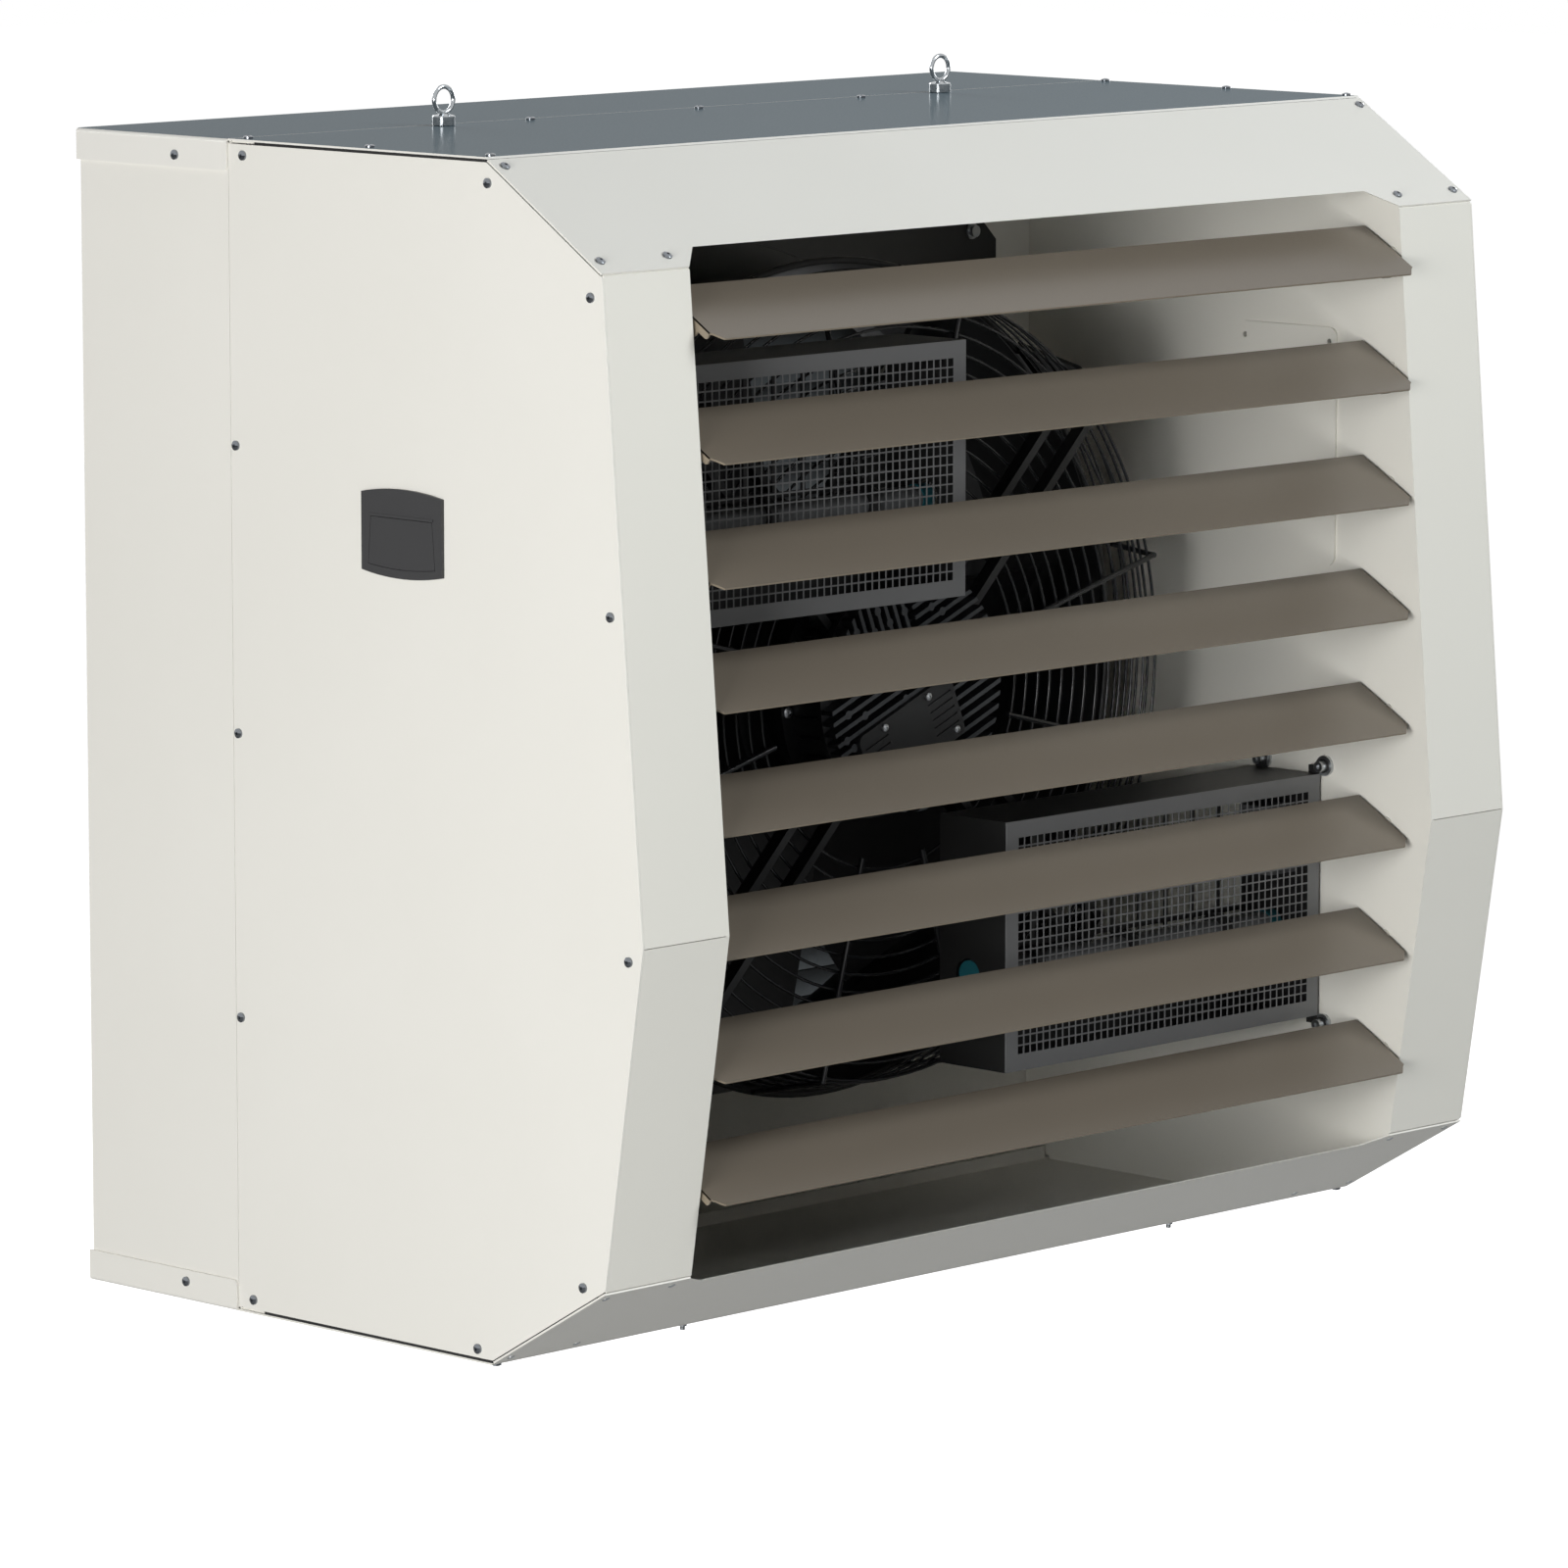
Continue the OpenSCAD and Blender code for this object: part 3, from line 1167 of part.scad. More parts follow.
pocket_h = handle_cut_h;
hinge_x = -2.6;
hinge_z = flap_rise - 4;
knuckle_r = 3.2;
lug_t = 3;
lug_y = flap_top_w / 2 - 6;
ridge_w = 92;
pocket_drop = 5;
module pocket(inner) translate([0, -pocket_drop]) square([pocket_w - inner, pocket_h - inner],
    center = true);
module handle_bezel() color("#414141") datum() at_handle() {
    difference() {
        union() {
            outwards(0, bezel_t) bezel_outline();
            // ridge over the flap
            outwards(bezel_t - eps, bezel_t + 1.2) translate([-ridge_w / 2, flap_rise + 1])
                square([ridge_w, 2.4]);
            // pocket behind the panel
            outwards(-pocket_d, eps) pocket(0);
        }
        outwards(-pocket_d + pocket_t, 0) pocket(2 * pocket_t);
        outwards(-eps, bezel_t + 3) flap_outline(flap_gap);
    }
    // two lugs under the pocket's top hold the hinge pin
    for (s = [-1, 1]) translate([-hinge_x, s * (lug_y + lug_t / 2), hinge_z]) rotate([90, 0, 0])
        linear_extrude(lug_t, center = true) difference() {
            union() {
                circle(knuckle_r);
                translate([-knuckle_r, 0])
                    square([12, pocket_h / 2 - pocket_drop - hinge_z - pocket_t / 2]);
            }
            circle(d = hinge_d + 0.1);
        }
}
knuckle_w = 14;
module handle_flap() color("#3A3A3A") datum() at_handle() difference() {
    union() {
        outwards(bezel_t - flap_t, bezel_t) flap_outline(0);
        for (s = [-1, 1]) translate([-hinge_x, s * (lug_y - 1 - knuckle_w / 2), hinge_z])
            rotate([90, 0, 0]) {
                cylinder(r = knuckle_r, h = knuckle_w, center = true);
            }
        for (s = [-1, 1]) translate([-bezel_t + flap_t / 2,
            s * (lug_y - 1 - knuckle_w / 2) - knuckle_w / 2, hinge_z - knuckle_r])
            cube([-hinge_x + bezel_t - flap_t / 2, knuckle_w, 2 * knuckle_r]);
    }
    translate([-hinge_x, 0, hinge_z]) rotate([90, 0, 0])
        cylinder(d = hinge_d + 0.12, h = handle_w, center = true);
}
module handle_pin() color(steel) datum() at_handle()
    translate([-hinge_x, 0, hinge_z]) rotate([90, 0, 0])
    cylinder(d = hinge_d, h = 2 * (lug_y + lug_t), center = true);

// Return spring: one unbroken wire wound round the hinge pin
coil_r = hinge_d / 2 + spring_wire;
coil_pitch = spring_wire + 0.5;
coil_steps = 8;
wire_sides = 6;
coil_n = spring_turns * coil_steps + coil_steps / 4;
coil_from = 90;
leg_l = 9;
function coil_angle(i) = coil_from + i * 360 / coil_steps;
// the two legs leave the coil straight, at its first and last ring
function coil_point(i) = let (k = max(0, min(coil_n, i)), a = coil_angle(k))
    [coil_r * cos(a), coil_r * sin(a), (k / coil_n - 0.5) * coil_n / coil_steps * coil_pitch]
    + (i - k) * leg_l * [-sin(a), cos(a), 0];
function wire_ring(i) = let (a = coil_angle(max(0, min(coil_n, i))), c = coil_point(i))
    [for (k = [0 : wire_sides - 1]) let (b = k * 360 / wire_sides, w = spring_wire / 2)
        c + [w * cos(b) * cos(a), w * cos(b) * sin(a), w * sin(b)]];
ring_n = coil_n + 2;
module handle_spring() color(steel) datum() at_handle() translate([-hinge_x, 0, hinge_z])
    rotate([90, 0, 0]) polyhedron(
        points = [for (i = [-1 : coil_n + 1]) each wire_ring(i)],
        faces = concat([[for (k = [0 : wire_sides - 1]) k]],
            [[for (k = [wire_sides - 1 : -1 : 0]) ring_n * wire_sides + k]],
            [for (i = [0 : ring_n - 1], k = [0 : wire_sides - 1])
                let (a = i * wire_sides + k, b = i * wire_sides + (k + 1) % wire_sides)
                each [[a, a + wire_sides, b], [b, a + wire_sides, b + wire_sides]]]));
// least gap of the spring to itself, measured between points one turn or more apart
echo(spring_gap = min([for (i = [0 : coil_n], j = [i + coil_steps - 1 : coil_n])
    norm(coil_point(i) - coil_point(j))]) - spring_wire);

// ---- hanging eyes ----
ring_mid_r = ring_bore_r + sqrt(pow(ring_bar / 2, 2) - pow(ring_land / 2, 2));
eye_z = casing_h + collar_h + ring_mid_r + ring_bar / 2 - 1;
module eyebolt(s) color(steel) translate([s * eye_span / 2, 0, 0]) {
    rotate([90, 0, 0]) rotate_extrude() intersection() {
        translate([ring_mid_r, 0]) circle(d = ring_bar, $fn = 48);
        translate([ring_bore_r, -ring_bar]) square([2 * ring_bar, 2 * ring_bar]);
    }
    translate([0, 0, casing_h - eye_z]) cylinder(d = collar_d, h = collar_h);
    translate([0, 0, casing_h - eye_z - shank_l]) cylinder(d = shank_d, h = shank_l + eps);
}
module eyebolt_left() eyebolt(-1);
module eyebolt_right() eyebolt(1);
module eyebolt_nuts() color(steel) datum() for (s = [-1, 1])
    translate([s * eye_span / 2, eye_y, roof_under - sheet_t]) mirror([0, 0, 1]) difference() {
        union() {
            cylinder(d = 2 * shank_d, h = 2);
            translate([0, 0, 2]) cylinder(d = nut_af / cos(30), h = nut_h, $fn = 6);
        }
        translate([0, 0, -eps]) cylinder(d = shank_d + 0.2, h = nut_h + 4);
    }

// ---- terminal box on the right rear side, and the cable gland through both walls ----
box_x = half_w - sheet_t - box_w;
box_y = 405;
box_t = 1.5;
module terminal_box() color("#8C8F91") datum() difference() {
    block([box_x, box_y, box_z], [half_w - sheet_t, box_y + box_d, box_z + box_h]);
    block([box_x - eps, box_y + box_t, box_z + box_t],
        [half_w - sheet_t - box_t, box_y + box_d - box_t, box_z + box_h - box_t]);
    gland_hole();
}
module terminal_box_lid() color("#8C8F91") datum()
    block([box_x - box_t - seat, box_y, box_z], [box_x - seat, box_y + box_d, box_z + box_h]);
nut_l = 6;
module cable_gland() color(black) datum() translate([half_w, gland_y, gland_z]) rotate([0, 90, 0])
    difference() {
        union() {
            cylinder(d = gland_d * 1.36, h = 7, $fn = 6);
            cylinder(d = gland_d * 1.12, h = gland_out - 4);
            translate([0, 0, gland_out - 4]) cylinder(d1 = gland_d * 1.12, d2 = gland_d * 0.86, h = 4);
            translate([0, 0, -sheet_t - box_t - nut_l - 3])
                cylinder(d = gland_d, h = sheet_t + box_t + nut_l + 4);
            translate([0, 0, -sheet_t - box_t - nut_l])
                cylinder(d = gland_d * 1.4, h = nut_l, $fn = 6);
        }
        translate([0, 0, -20]) cylinder(r = gland_bore_r, h = gland_out + 40);
    }

rear_side_left();
rear_side_right();
rear_top_cover();
rear_bottom_cover();
rear_frame();
intake_grille();
side_panel_left();
side_panel_right();
cheek_left();
cheek_right();
hood_roof();
hood_brow();
hood_sill();
hood_floor();
foam_seals();
blanking_plate();
bulkhead();
fan_plate();
fan_guard();
motor_arms();
motor_housing();
electronics_cover();
motor_bearings();
fan_screws();
impeller();
rotor_shaft();
module_case_upper();
module_case_lower();
module_front_upper();
module_front_lower();
module_rear_upper();
module_rear_lower();
element_upper();
element_lower();
element_clips();
element_caps();
terminal_blocks();
module_bolts();
handle_bezel();
handle_flap();
handle_pin();
handle_spring();
eyebolt_left();
eyebolt_right();
eyebolt_nuts();
louvre_1();
louvre_2();
louvre_3();
louvre_4();
louvre_5();
louvre_6();
louvre_7();
louvre_8();
louvre_bushes();
casing_screws();
floor_studs();
sill_rivets();
terminal_box();
terminal_box_lid();
cable_gland();
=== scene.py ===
"""Ceiling mounted fan heater: painted sheet casing, black fan, two heating modules and eight louvres."""
import json
import math

import bmesh
import bpy
from mathutils import Matrix, Vector


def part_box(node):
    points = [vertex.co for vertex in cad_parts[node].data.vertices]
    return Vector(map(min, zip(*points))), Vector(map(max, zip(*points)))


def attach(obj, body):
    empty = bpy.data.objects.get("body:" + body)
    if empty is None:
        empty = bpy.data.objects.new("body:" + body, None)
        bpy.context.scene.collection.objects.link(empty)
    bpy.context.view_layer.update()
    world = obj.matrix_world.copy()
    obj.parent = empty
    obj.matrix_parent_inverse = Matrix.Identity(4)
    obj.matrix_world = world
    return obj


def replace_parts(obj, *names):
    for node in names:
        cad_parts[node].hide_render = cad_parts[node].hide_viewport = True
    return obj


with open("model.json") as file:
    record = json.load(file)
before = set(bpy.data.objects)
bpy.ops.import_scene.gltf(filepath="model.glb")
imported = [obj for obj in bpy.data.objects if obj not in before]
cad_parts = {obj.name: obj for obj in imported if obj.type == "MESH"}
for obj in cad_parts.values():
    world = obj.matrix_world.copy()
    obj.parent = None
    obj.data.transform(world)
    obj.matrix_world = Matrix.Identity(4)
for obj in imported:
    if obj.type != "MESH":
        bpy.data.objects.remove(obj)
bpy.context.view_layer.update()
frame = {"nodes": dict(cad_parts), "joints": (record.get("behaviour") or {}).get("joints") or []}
nodes = frame["nodes"]
mm = 0.001

# ---- Casing sheets --------------------------------------------------------------------------
# Side panels, brow, sill, floor, rear sides and bulkhead are folded sheet steel, powder coated in
# a warm off-white. The coat is sprayed as powder and baked, which leaves a faint orange peel.


def linear(colour):
    """sRGB hex such as "E5E3DC" to a linear colour with alpha."""
    parts = [int(colour[i:i + 2], 16) / 255 for i in (0, 2, 4)]
    return tuple(p / 12.92 if p <= 0.04045 else ((p + 0.055) / 1.055) ** 2.4 for p in parts) + (1.0,)


def add(tree, kind, settings, links=()):
    """Adds one node, with its settings by socket or property name, and its links by socket name."""
    node = tree.nodes.new(kind)
    for name, value in settings.items():
        if isinstance(name, int) or name in node.inputs:
            node.inputs[name].default_value = value
        else:
            setattr(node, name, value)
    for name, source in dict(links).items():
        tree.links.new(source, node.inputs[name])
    return node


def new_finish(name):
    """An empty material with its tree and object coordinates in metres."""
    material = bpy.data.materials.new(name)
    material.use_nodes = True
    tree = material.node_tree
    tree.nodes.clear()
    place = add(tree, "ShaderNodeTexCoord", {}).outputs["Object"]
    return material, tree, place


def powder_coat(name, colour, shade, peel_mm, roughness, peel=0.25):
    """Baked powder: two close tones in broad clouds, and orange peel of the given width."""
    material, tree, place = new_finish(name)
    cloud = add(tree, "ShaderNodeTexNoise", {"Scale": 3.0, "Detail": 4.0}, {"Vector": place})
    tone = add(tree, "ShaderNodeMixRGB", {"Color1": linear(colour), "Color2": linear(shade)},
               {"Fac": cloud.outputs["Fac"]})
    grain = add(tree, "ShaderNodeTexNoise", {"Scale": 1 / (peel_mm * mm), "Detail": 2.0},
                {"Vector": place})
    bump = add(tree, "ShaderNodeBump", {"Strength": peel, "Distance": 0.0002},
               {"Height": grain.outputs["Fac"]})
    gloss = add(tree, "ShaderNodeMapRange", {"To Min": roughness - 0.05, "To Max": roughness + 0.06},
                {"Value": grain.outputs["Fac"]})
    coat = add(tree, "ShaderNodeBsdfPrincipled", {"IOR": 1.5},
               {"Base Color": tone.outputs["Color"], "Roughness": gloss.outputs["Result"],
                "Normal": bump.outputs["Normal"]})
    add(tree, "ShaderNodeOutputMaterial", {}, {"Surface": coat.outputs["BSDF"]})
    return material


def dress(material, *names):
    """Gives CAD nodes their finish."""
    for name in names:
        mesh = nodes[name].data
        mesh.materials.clear()
        mesh.materials.append(material)


cream_coat = powder_coat("cream_powder_coat", "E8E6DF", "E2E0D8", 1.6, 0.42)
dress(cream_coat, "side_panel_left", "side_panel_right", "hood_brow", "hood_sill", "hood_floor",
      "rear_side_left", "rear_side_right", "rear_bottom_cover", "rear_frame", "bulkhead")

# ---- Front strips and duct walls ------------------------------------------------------------
# Each strip beside the outlet is folded in one piece with the duct wall behind it, in a slightly
# greyer coat. The blanking plate closes the unused module place and is coated with them.
grey_coat = powder_coat("grey_white_powder_coat", "E5E3DA", "DFDDD4", 1.6, 0.40)
dress(grey_coat, "cheek_left", "cheek_right", "blanking_plate")

# ---- Roof and top cover ---------------------------------------------------------------------
# The flat top carries painted shade: faces that look up are coloured slate grey in a fine texture
# which catches light in small grains. Edges and flanges folded down over the sides stay cream.


def cream_with_painted_dark_top(name):
    """Cream coat, with painted shade in slate grey where the sheet faces up."""
    material, tree, place = new_finish(name)
    grain = add(tree, "ShaderNodeTexNoise", {"Scale": 1 / (2.2 * mm), "Detail": 3.0},
                {"Vector": place})
    # painted shade: two slate grey tones in fine grains, only for faces that look up
    painted_shade_tone = add(tree, "ShaderNodeMixRGB", {"Color1": linear("56656D"), "Color2": linear("6D7C83")},
                {"Fac": grain.outputs["Fac"]})
    facing = add(tree, "ShaderNodeSeparateXYZ", {},
                 {"Vector": add(tree, "ShaderNodeNewGeometry", {}).outputs["Normal"]})
    level = add(tree, "ShaderNodeMath", {"operation": "GREATER_THAN", 1: 0.9},
                {0: facing.outputs["Z"]})
    tone = add(tree, "ShaderNodeMixRGB", {"Color1": linear("F0EEE7")},
               {"Fac": level.outputs["Value"], "Color2": painted_shade_tone.outputs["Color"]})
    bump = add(tree, "ShaderNodeBump", {"Strength": 0.2, "Distance": 0.0002},
               {"Height": grain.outputs["Fac"]})
    matt = add(tree, "ShaderNodeBsdfDiffuse", {},
               {"Color": tone.outputs["Color"], "Normal": bump.outputs["Normal"]})
    lacquer = add(tree, "ShaderNodeBsdfGlossy", {"Roughness": 0.16})
    coat = add(tree, "ShaderNodeMixShader", {"Fac": 0.14},
               {1: matt.outputs["BSDF"], 2: lacquer.outputs["BSDF"]})
    add(tree, "ShaderNodeOutputMaterial", {}, {"Surface": coat.outputs["Shader"]})
    return material


# roof and top cover get painted shade in slate grey on their upper faces
dress(cream_with_painted_dark_top("cream_coat_painted_dark_top"), "hood_roof", "rear_top_cover")

# ---- Foam seals -----------------------------------------------------------------------------
# Strips of black closed cell foam lie between the folded edges of the side panels and the roof,
# brow, sill and floor. Only their cut edge shows, as a dull dark line.


def foam(name):
    """Dull black foam with cut cells."""
    material, tree, place = new_finish(name)
    cells = add(tree, "ShaderNodeTexVoronoi", {"Scale": 1 / (1.0 * mm)}, {"Vector": place})
    bump = add(tree, "ShaderNodeBump", {"Strength": 0.5, "Distance": 0.0003},
               {"Height": cells.outputs["Distance"]})
    skin = add(tree, "ShaderNodeMixRGB", {"Color1": linear("141414"), "Color2": linear("262626")},
               {"Fac": cells.outputs["Distance"]})
    body = add(tree, "ShaderNodeBsdfPrincipled", {"Roughness": 0.9},
               {"Base Color": skin.outputs["Color"], "Normal": bump.outputs["Normal"]})
    add(tree, "ShaderNodeOutputMaterial", {}, {"Surface": body.outputs["BSDF"]})
    return material


dress(foam("closed_cell_foam"), "foam_seals")

# ---- Screws, studs and other bright steel ---------------------------------------------------
# Button head screws, studs, nuts and the shaft are steel with a zinc plating, which
# is grey and satin with a faint cloudy bloom.


def bright_zinc(name, colour, roughness):
    """Plated steel of one tone, with a bloom that varies its gloss."""
    material, tree, place = new_finish(name)
    bloom = add(tree, "ShaderNodeTexNoise", {"Scale": 1 / (4.0 * mm), "Detail": 5.0},
                {"Vector": place})
    gloss = add(tree, "ShaderNodeMapRange", {"To Min": roughness - 0.08, "To Max": roughness + 0.1},
                {"Value": bloom.outputs["Fac"]})
    bump = add(tree, "ShaderNodeBump", {"Strength": 0.08, "Distance": 0.0001},
               {"Height": bloom.outputs["Fac"]})
    metal = add(tree, "ShaderNodeBsdfPrincipled", {"Base Color": linear(colour), "Metallic": 1.0},
                {"Roughness": gloss.outputs["Result"], "Normal": bump.outputs["Normal"]})
    add(tree, "ShaderNodeOutputMaterial", {}, {"Surface": metal.outputs["BSDF"]})
    return material


zinc = bright_zinc("bright_zinc_plating", "B9BCBE", 0.30)
dress(zinc, "fan_screws", "module_bolts", "eyebolt_nuts", "handle_pin", "handle_spring",
      "rotor_shaft", "motor_bearings", "sill_rivets")
dress(bright_zinc("polished_screw_steel", "808489", 0.16), "casing_screws")
dress(bright_zinc("dulled_zinc_plating", "7D8082", 0.45), "floor_studs")
dress(bright_zinc("galvanised_sheet", "8E9293", 0.45), "terminal_box", "terminal_box_lid")
# painted shade: a darker copy of the galvanised finish, for the dim intake seen through the fan
dress(bright_zinc("galvanised_slats_painted_shade", "6B6F71", 0.5), "intake_grille")

# ---- Hanging eyes ---------------------------------------------------------------------------
# Two drop forged steel eyebolts stand on the roof: a turned collar, a short neck that grows out
# of the ring, and a round ring. They are plated bright, so they mirror the room.
eye_ring_r = 13.28 * mm
eye_bar_r = 2.4 * mm
shank_r = 5 * mm
roof_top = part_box("hood_roof")[1][2]
# collar and neck as (radius, height over the roof), in mm
collar_profile = [(5, 0), (11.05, 0), (11.85, 0.8), (11.85, 9.6), (10.95, 10.6), (7.2, 11.4),
                  (4.6, 12.4)]


def spin_point(point, at, spin):
    """Turns a point by spin, if there is one, and moves it by at."""
    return (spin @ point if spin else point) + Vector(at)


def turned(mesh, profile, axis_at, sides=48, spin=None):
    """Adds a closed turned form about a vertical line through axis_at; profile is (radius, z)."""
    rings = []
    for radius, height in profile:
        ring = []
        for k in range(sides):
            a = math.tau * k / sides
            point = Vector((radius * math.cos(a), radius * math.sin(a), height))
            ring.append(mesh.verts.new(spin_point(point, axis_at, spin)))
        rings.append(ring)
    for low, high in zip(rings, rings[1:]):
        for k in range(sides):
            mesh.faces.new((low[k], low[(k + 1) % sides], high[(k + 1) % sides], high[k]))
    mesh.faces.new(rings[0][::-1])
    mesh.faces.new(rings[-1])
    return rings


def ring_round(mesh, centre, major, minor, spin=None, sides=64, bar_sides=16):
    """Adds a torus whose own axis is vertical before spin turns it."""
    rings = []
    for i in range(sides):
        a = math.tau * i / sides
        ring = []
        for k in range(bar_sides):
            b = math.tau * k / bar_sides
            r = major + minor * math.cos(b)
            point = Vector((r * math.cos(a), r * math.sin(a), minor * math.sin(b)))
            ring.append(mesh.verts.new(spin_point(point, centre, spin)))
        rings.append(ring)
    for i in range(sides):
        here, there = rings[i], rings[(i + 1) % sides]
        for k in range(bar_sides):
            j = (k + 1) % bar_sides
            mesh.faces.new((here[k], there[k], there[j], here[j]))


def settle(mesh, name, material, body, smooth_deg=35):
    """Turns a bmesh into a shown piece that rides on its body."""
    bmesh.ops.recalc_face_normals(mesh, faces=mesh.faces)
    data = bpy.data.meshes.new(name)
    mesh.to_mesh(data)
    mesh.free()
    piece = bpy.data.objects.new(name, data)
    bpy.context.scene.collection.objects.link(piece)
    for finish in material if isinstance(material, (list, tuple)) else [material]:
        data.materials.append(finish)
    data.polygons.foreach_set("use_smooth", [True] * len(data.polygons))
    data.set_sharp_from_angle(angle=math.radians(smooth_deg))
    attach(piece, body)
    return piece


forged = bright_zinc("bright_plated_forging", "A9ADB0", 0.13)
for side, node in ((-1, "eyebolt_left"), (1, "eyebolt_right")):
    low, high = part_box(node)
    x, y = (low[0] + high[0]) / 2, 0.0
    mesh = bmesh.new()
    ring_round(mesh, (x, y, 0.0), eye_ring_r, eye_bar_r, Matrix.Rotation(math.pi / 2, 3, "X"))
    profile = [(shank_r, low[2])] + [(r * mm, roof_top + h * mm) for r, h in collar_profile]
    neck_in_ring = 0.6 * mm
    turned(mesh, profile + [(eye_bar_r, neck_in_ring - eye_ring_r)], (x, y, 0))
    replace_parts(settle(mesh, "hanging_eye_%s" % ("left" if side < 0 else "right"), forged,
                       "casing"), node)

# ---- Fan plate, nozzle and wire guard -------------------------------------------------------
# The square plate and its spun nozzle are pressed steel in satin black. The guard is a welded
# basket of round wire rings on thicker stays. Four arms of flat bar carry the motor before it.
dress(powder_coat("black_stoved_enamel", "1A1B1C", "141516", 2.0, 0.38, 0.12), "fan_plate")
dress(powder_coat("black_arm_enamel", "111213", "0D0E0F", 2.0, 0.34, 0.12), "motor_arms")
# the wire is black; its colour is lifted to dark grey as a painted sheen along the rings
dress(powder_coat("black_dipped_wire_painted_sheen", "26272A", "1E1F21", 2.5, 0.15, 0.05), "fan_guard")

# ---- Motor and impeller ---------------------------------------------------------------------
# The motor is an aluminium casting with parallel cooling fins and a cover over its electronics,
# coated black with a cast skin. The flat tops of the fins carry a painted highlight in a greyer
# tone. Hub and blades are moulded in glass filled polyamide.


def cast_coating_painted_fin_highlight(name):
    """Black cast coating, with a painted highlight in grey on the fins' flat tops."""
    material = powder_coat(name, "17181A", "101112", 1.2, 0.40, 0.5)
    tree = material.node_tree
    coat = next(node for node in tree.nodes if node.type == "BSDF_PRINCIPLED")
    dark = coat.inputs["Base Color"].links[0].from_socket
    place = add(tree, "ShaderNodeSeparateXYZ", {},
                {0: add(tree, "ShaderNodeTexCoord", {}).outputs["Object"]})
    fin_top_depth = 0.3 * mm
    # painted highlight: faces at the fins' front tops take a greyer tone
    top = add(tree, "ShaderNodeMath", {"operation": "LESS_THAN",
                                       1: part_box("motor_housing")[0][1] + fin_top_depth},
              {0: place.outputs["Y"]})
    tone = add(tree, "ShaderNodeMixRGB", {"Color2": linear("44474A")},
               {"Fac": top.outputs["Value"], "Color1": dark})
    tree.links.new(tone.outputs["Color"], coat.inputs["Base Color"])
    return material


dress(cast_coating_painted_fin_highlight("black_cast_coating"), "motor_housing")
dress(powder_coat("black_cover_plastic", "1F2021", "191A1B", 0.9, 0.5, 0.3), "electronics_cover")
dress(powder_coat("glass_filled_polyamide", "18191B", "121314", 1.4, 0.5, 0.2), "impeller")

# ---- Heating modules ------------------------------------------------------------------------
# Each module is a black sheet case bolted to the duct wall, with a perforated grey steel front of
# square holes at 10 mm spacing in thin sheet. A rod element with teal caps sits in round clips.
perforation_mm = 8.4
perforation_pitch_mm = 10.0
perforation_margin_mm = 15.0
perforated_sheet_t = 0.6 * mm
black_case = powder_coat("black_case_coat", "242424", "1C1C1C", 1.6, 0.45, 0.2)
dress(black_case, "module_case_upper", "module_case_lower", "module_rear_upper",
      "module_rear_lower")
dress(powder_coat("grey_element_sheath", "77797B", "66686A", 2.0, 0.4, 0.2), "element_upper",
      "element_lower")
dress(powder_coat("black_nylon_clips", "1D1D1E", "161617", 1.0, 0.5, 0.2), "element_clips",
      "cable_gland")
dress(powder_coat("teal_moulded_caps", "226873", "1D5963", 1.0, 0.38, 0.15), "element_caps")
dress(powder_coat("grey_moulded_blocks", "6E6F70", "5F6061", 1.0, 0.5, 0.2), "terminal_blocks")
grey_front = powder_coat("grey_satin_front", "828384", "7A7B7C", 1.6, 0.36, 0.12)


def perforated_front(name, node):
    """A sheet with square holes and a deeper rim, all faces drawn."""
    low, high = (Vector(corner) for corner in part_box(node))
    hole, pitch = perforation_mm * mm, perforation_pitch_mm * mm

    def lines(start, end):
        count = int((end - start - 2 * perforation_margin_mm * mm) / pitch)
        first = (start + end) / 2 - (count - 1) / 2 * pitch - hole / 2
        marks = [start]
        for i in range(count):
            marks += [first + i * pitch, first + i * pitch + hole]
        return marks + [end]

    xs, zs = lines(low.x, high.x), lines(low.z, high.z)
    mesh = bmesh.new()
    front = [[mesh.verts.new((x, low.y, z)) for z in zs] for x in xs]
    field = low.y + perforated_sheet_t
    back = [[mesh.verts.new((x, high.y if x in (low.x, high.x) or z in (low.z, high.z) else field,
                             z)) for z in zs] for x in xs]
    for i in range(len(xs) - 1):
        for k in range(len(zs) - 1):
            ring = [(i, k), (i + 1, k), (i + 1, k + 1), (i, k + 1)]
            if i % 2 and k % 2:
                for (a, b), (c, d) in zip(ring, ring[1:] + ring[:1]):
                    mesh.faces.new((front[a][b], front[c][d], back[c][d], back[a][b]))
            else:
                mesh.faces.new([front[a][b] for a, b in ring])
                mesh.faces.new([back[a][b] for a, b in ring[::-1]])
    last_x, last_z = len(xs) - 1, len(zs) - 1
    rim = [(i, 0) for i in range(last_x)] + [(last_x, k) for k in range(last_z)]
    rim += [(i, last_z) for i in range(last_x, 0, -1)] + [(0, k) for k in range(last_z, 0, -1)]
    for (a, b), (c, d) in zip(rim, rim[1:] + rim[:1]):
        mesh.faces.new((front[a][b], back[a][b], back[c][d], front[c][d]))
    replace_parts(settle(mesh, name, grey_front, "casing"), node)


perforated_front("perforated_front_upper", "module_front_upper")
perforated_front("perforated_front_lower", "module_front_lower")

# ---- Panel handle ---------------------------------------------------------------------------
# The flush pull is injection moulded in black ABS with a fine spark eroded grain: a bezel that
# snaps into the panel and a hinged flap that springs back.
moulded_abs = powder_coat("grained_moulded_abs", "373738", "323233", 0.8, 0.46, 0.35)
dress(moulded_abs, "handle_bezel", "handle_flap")

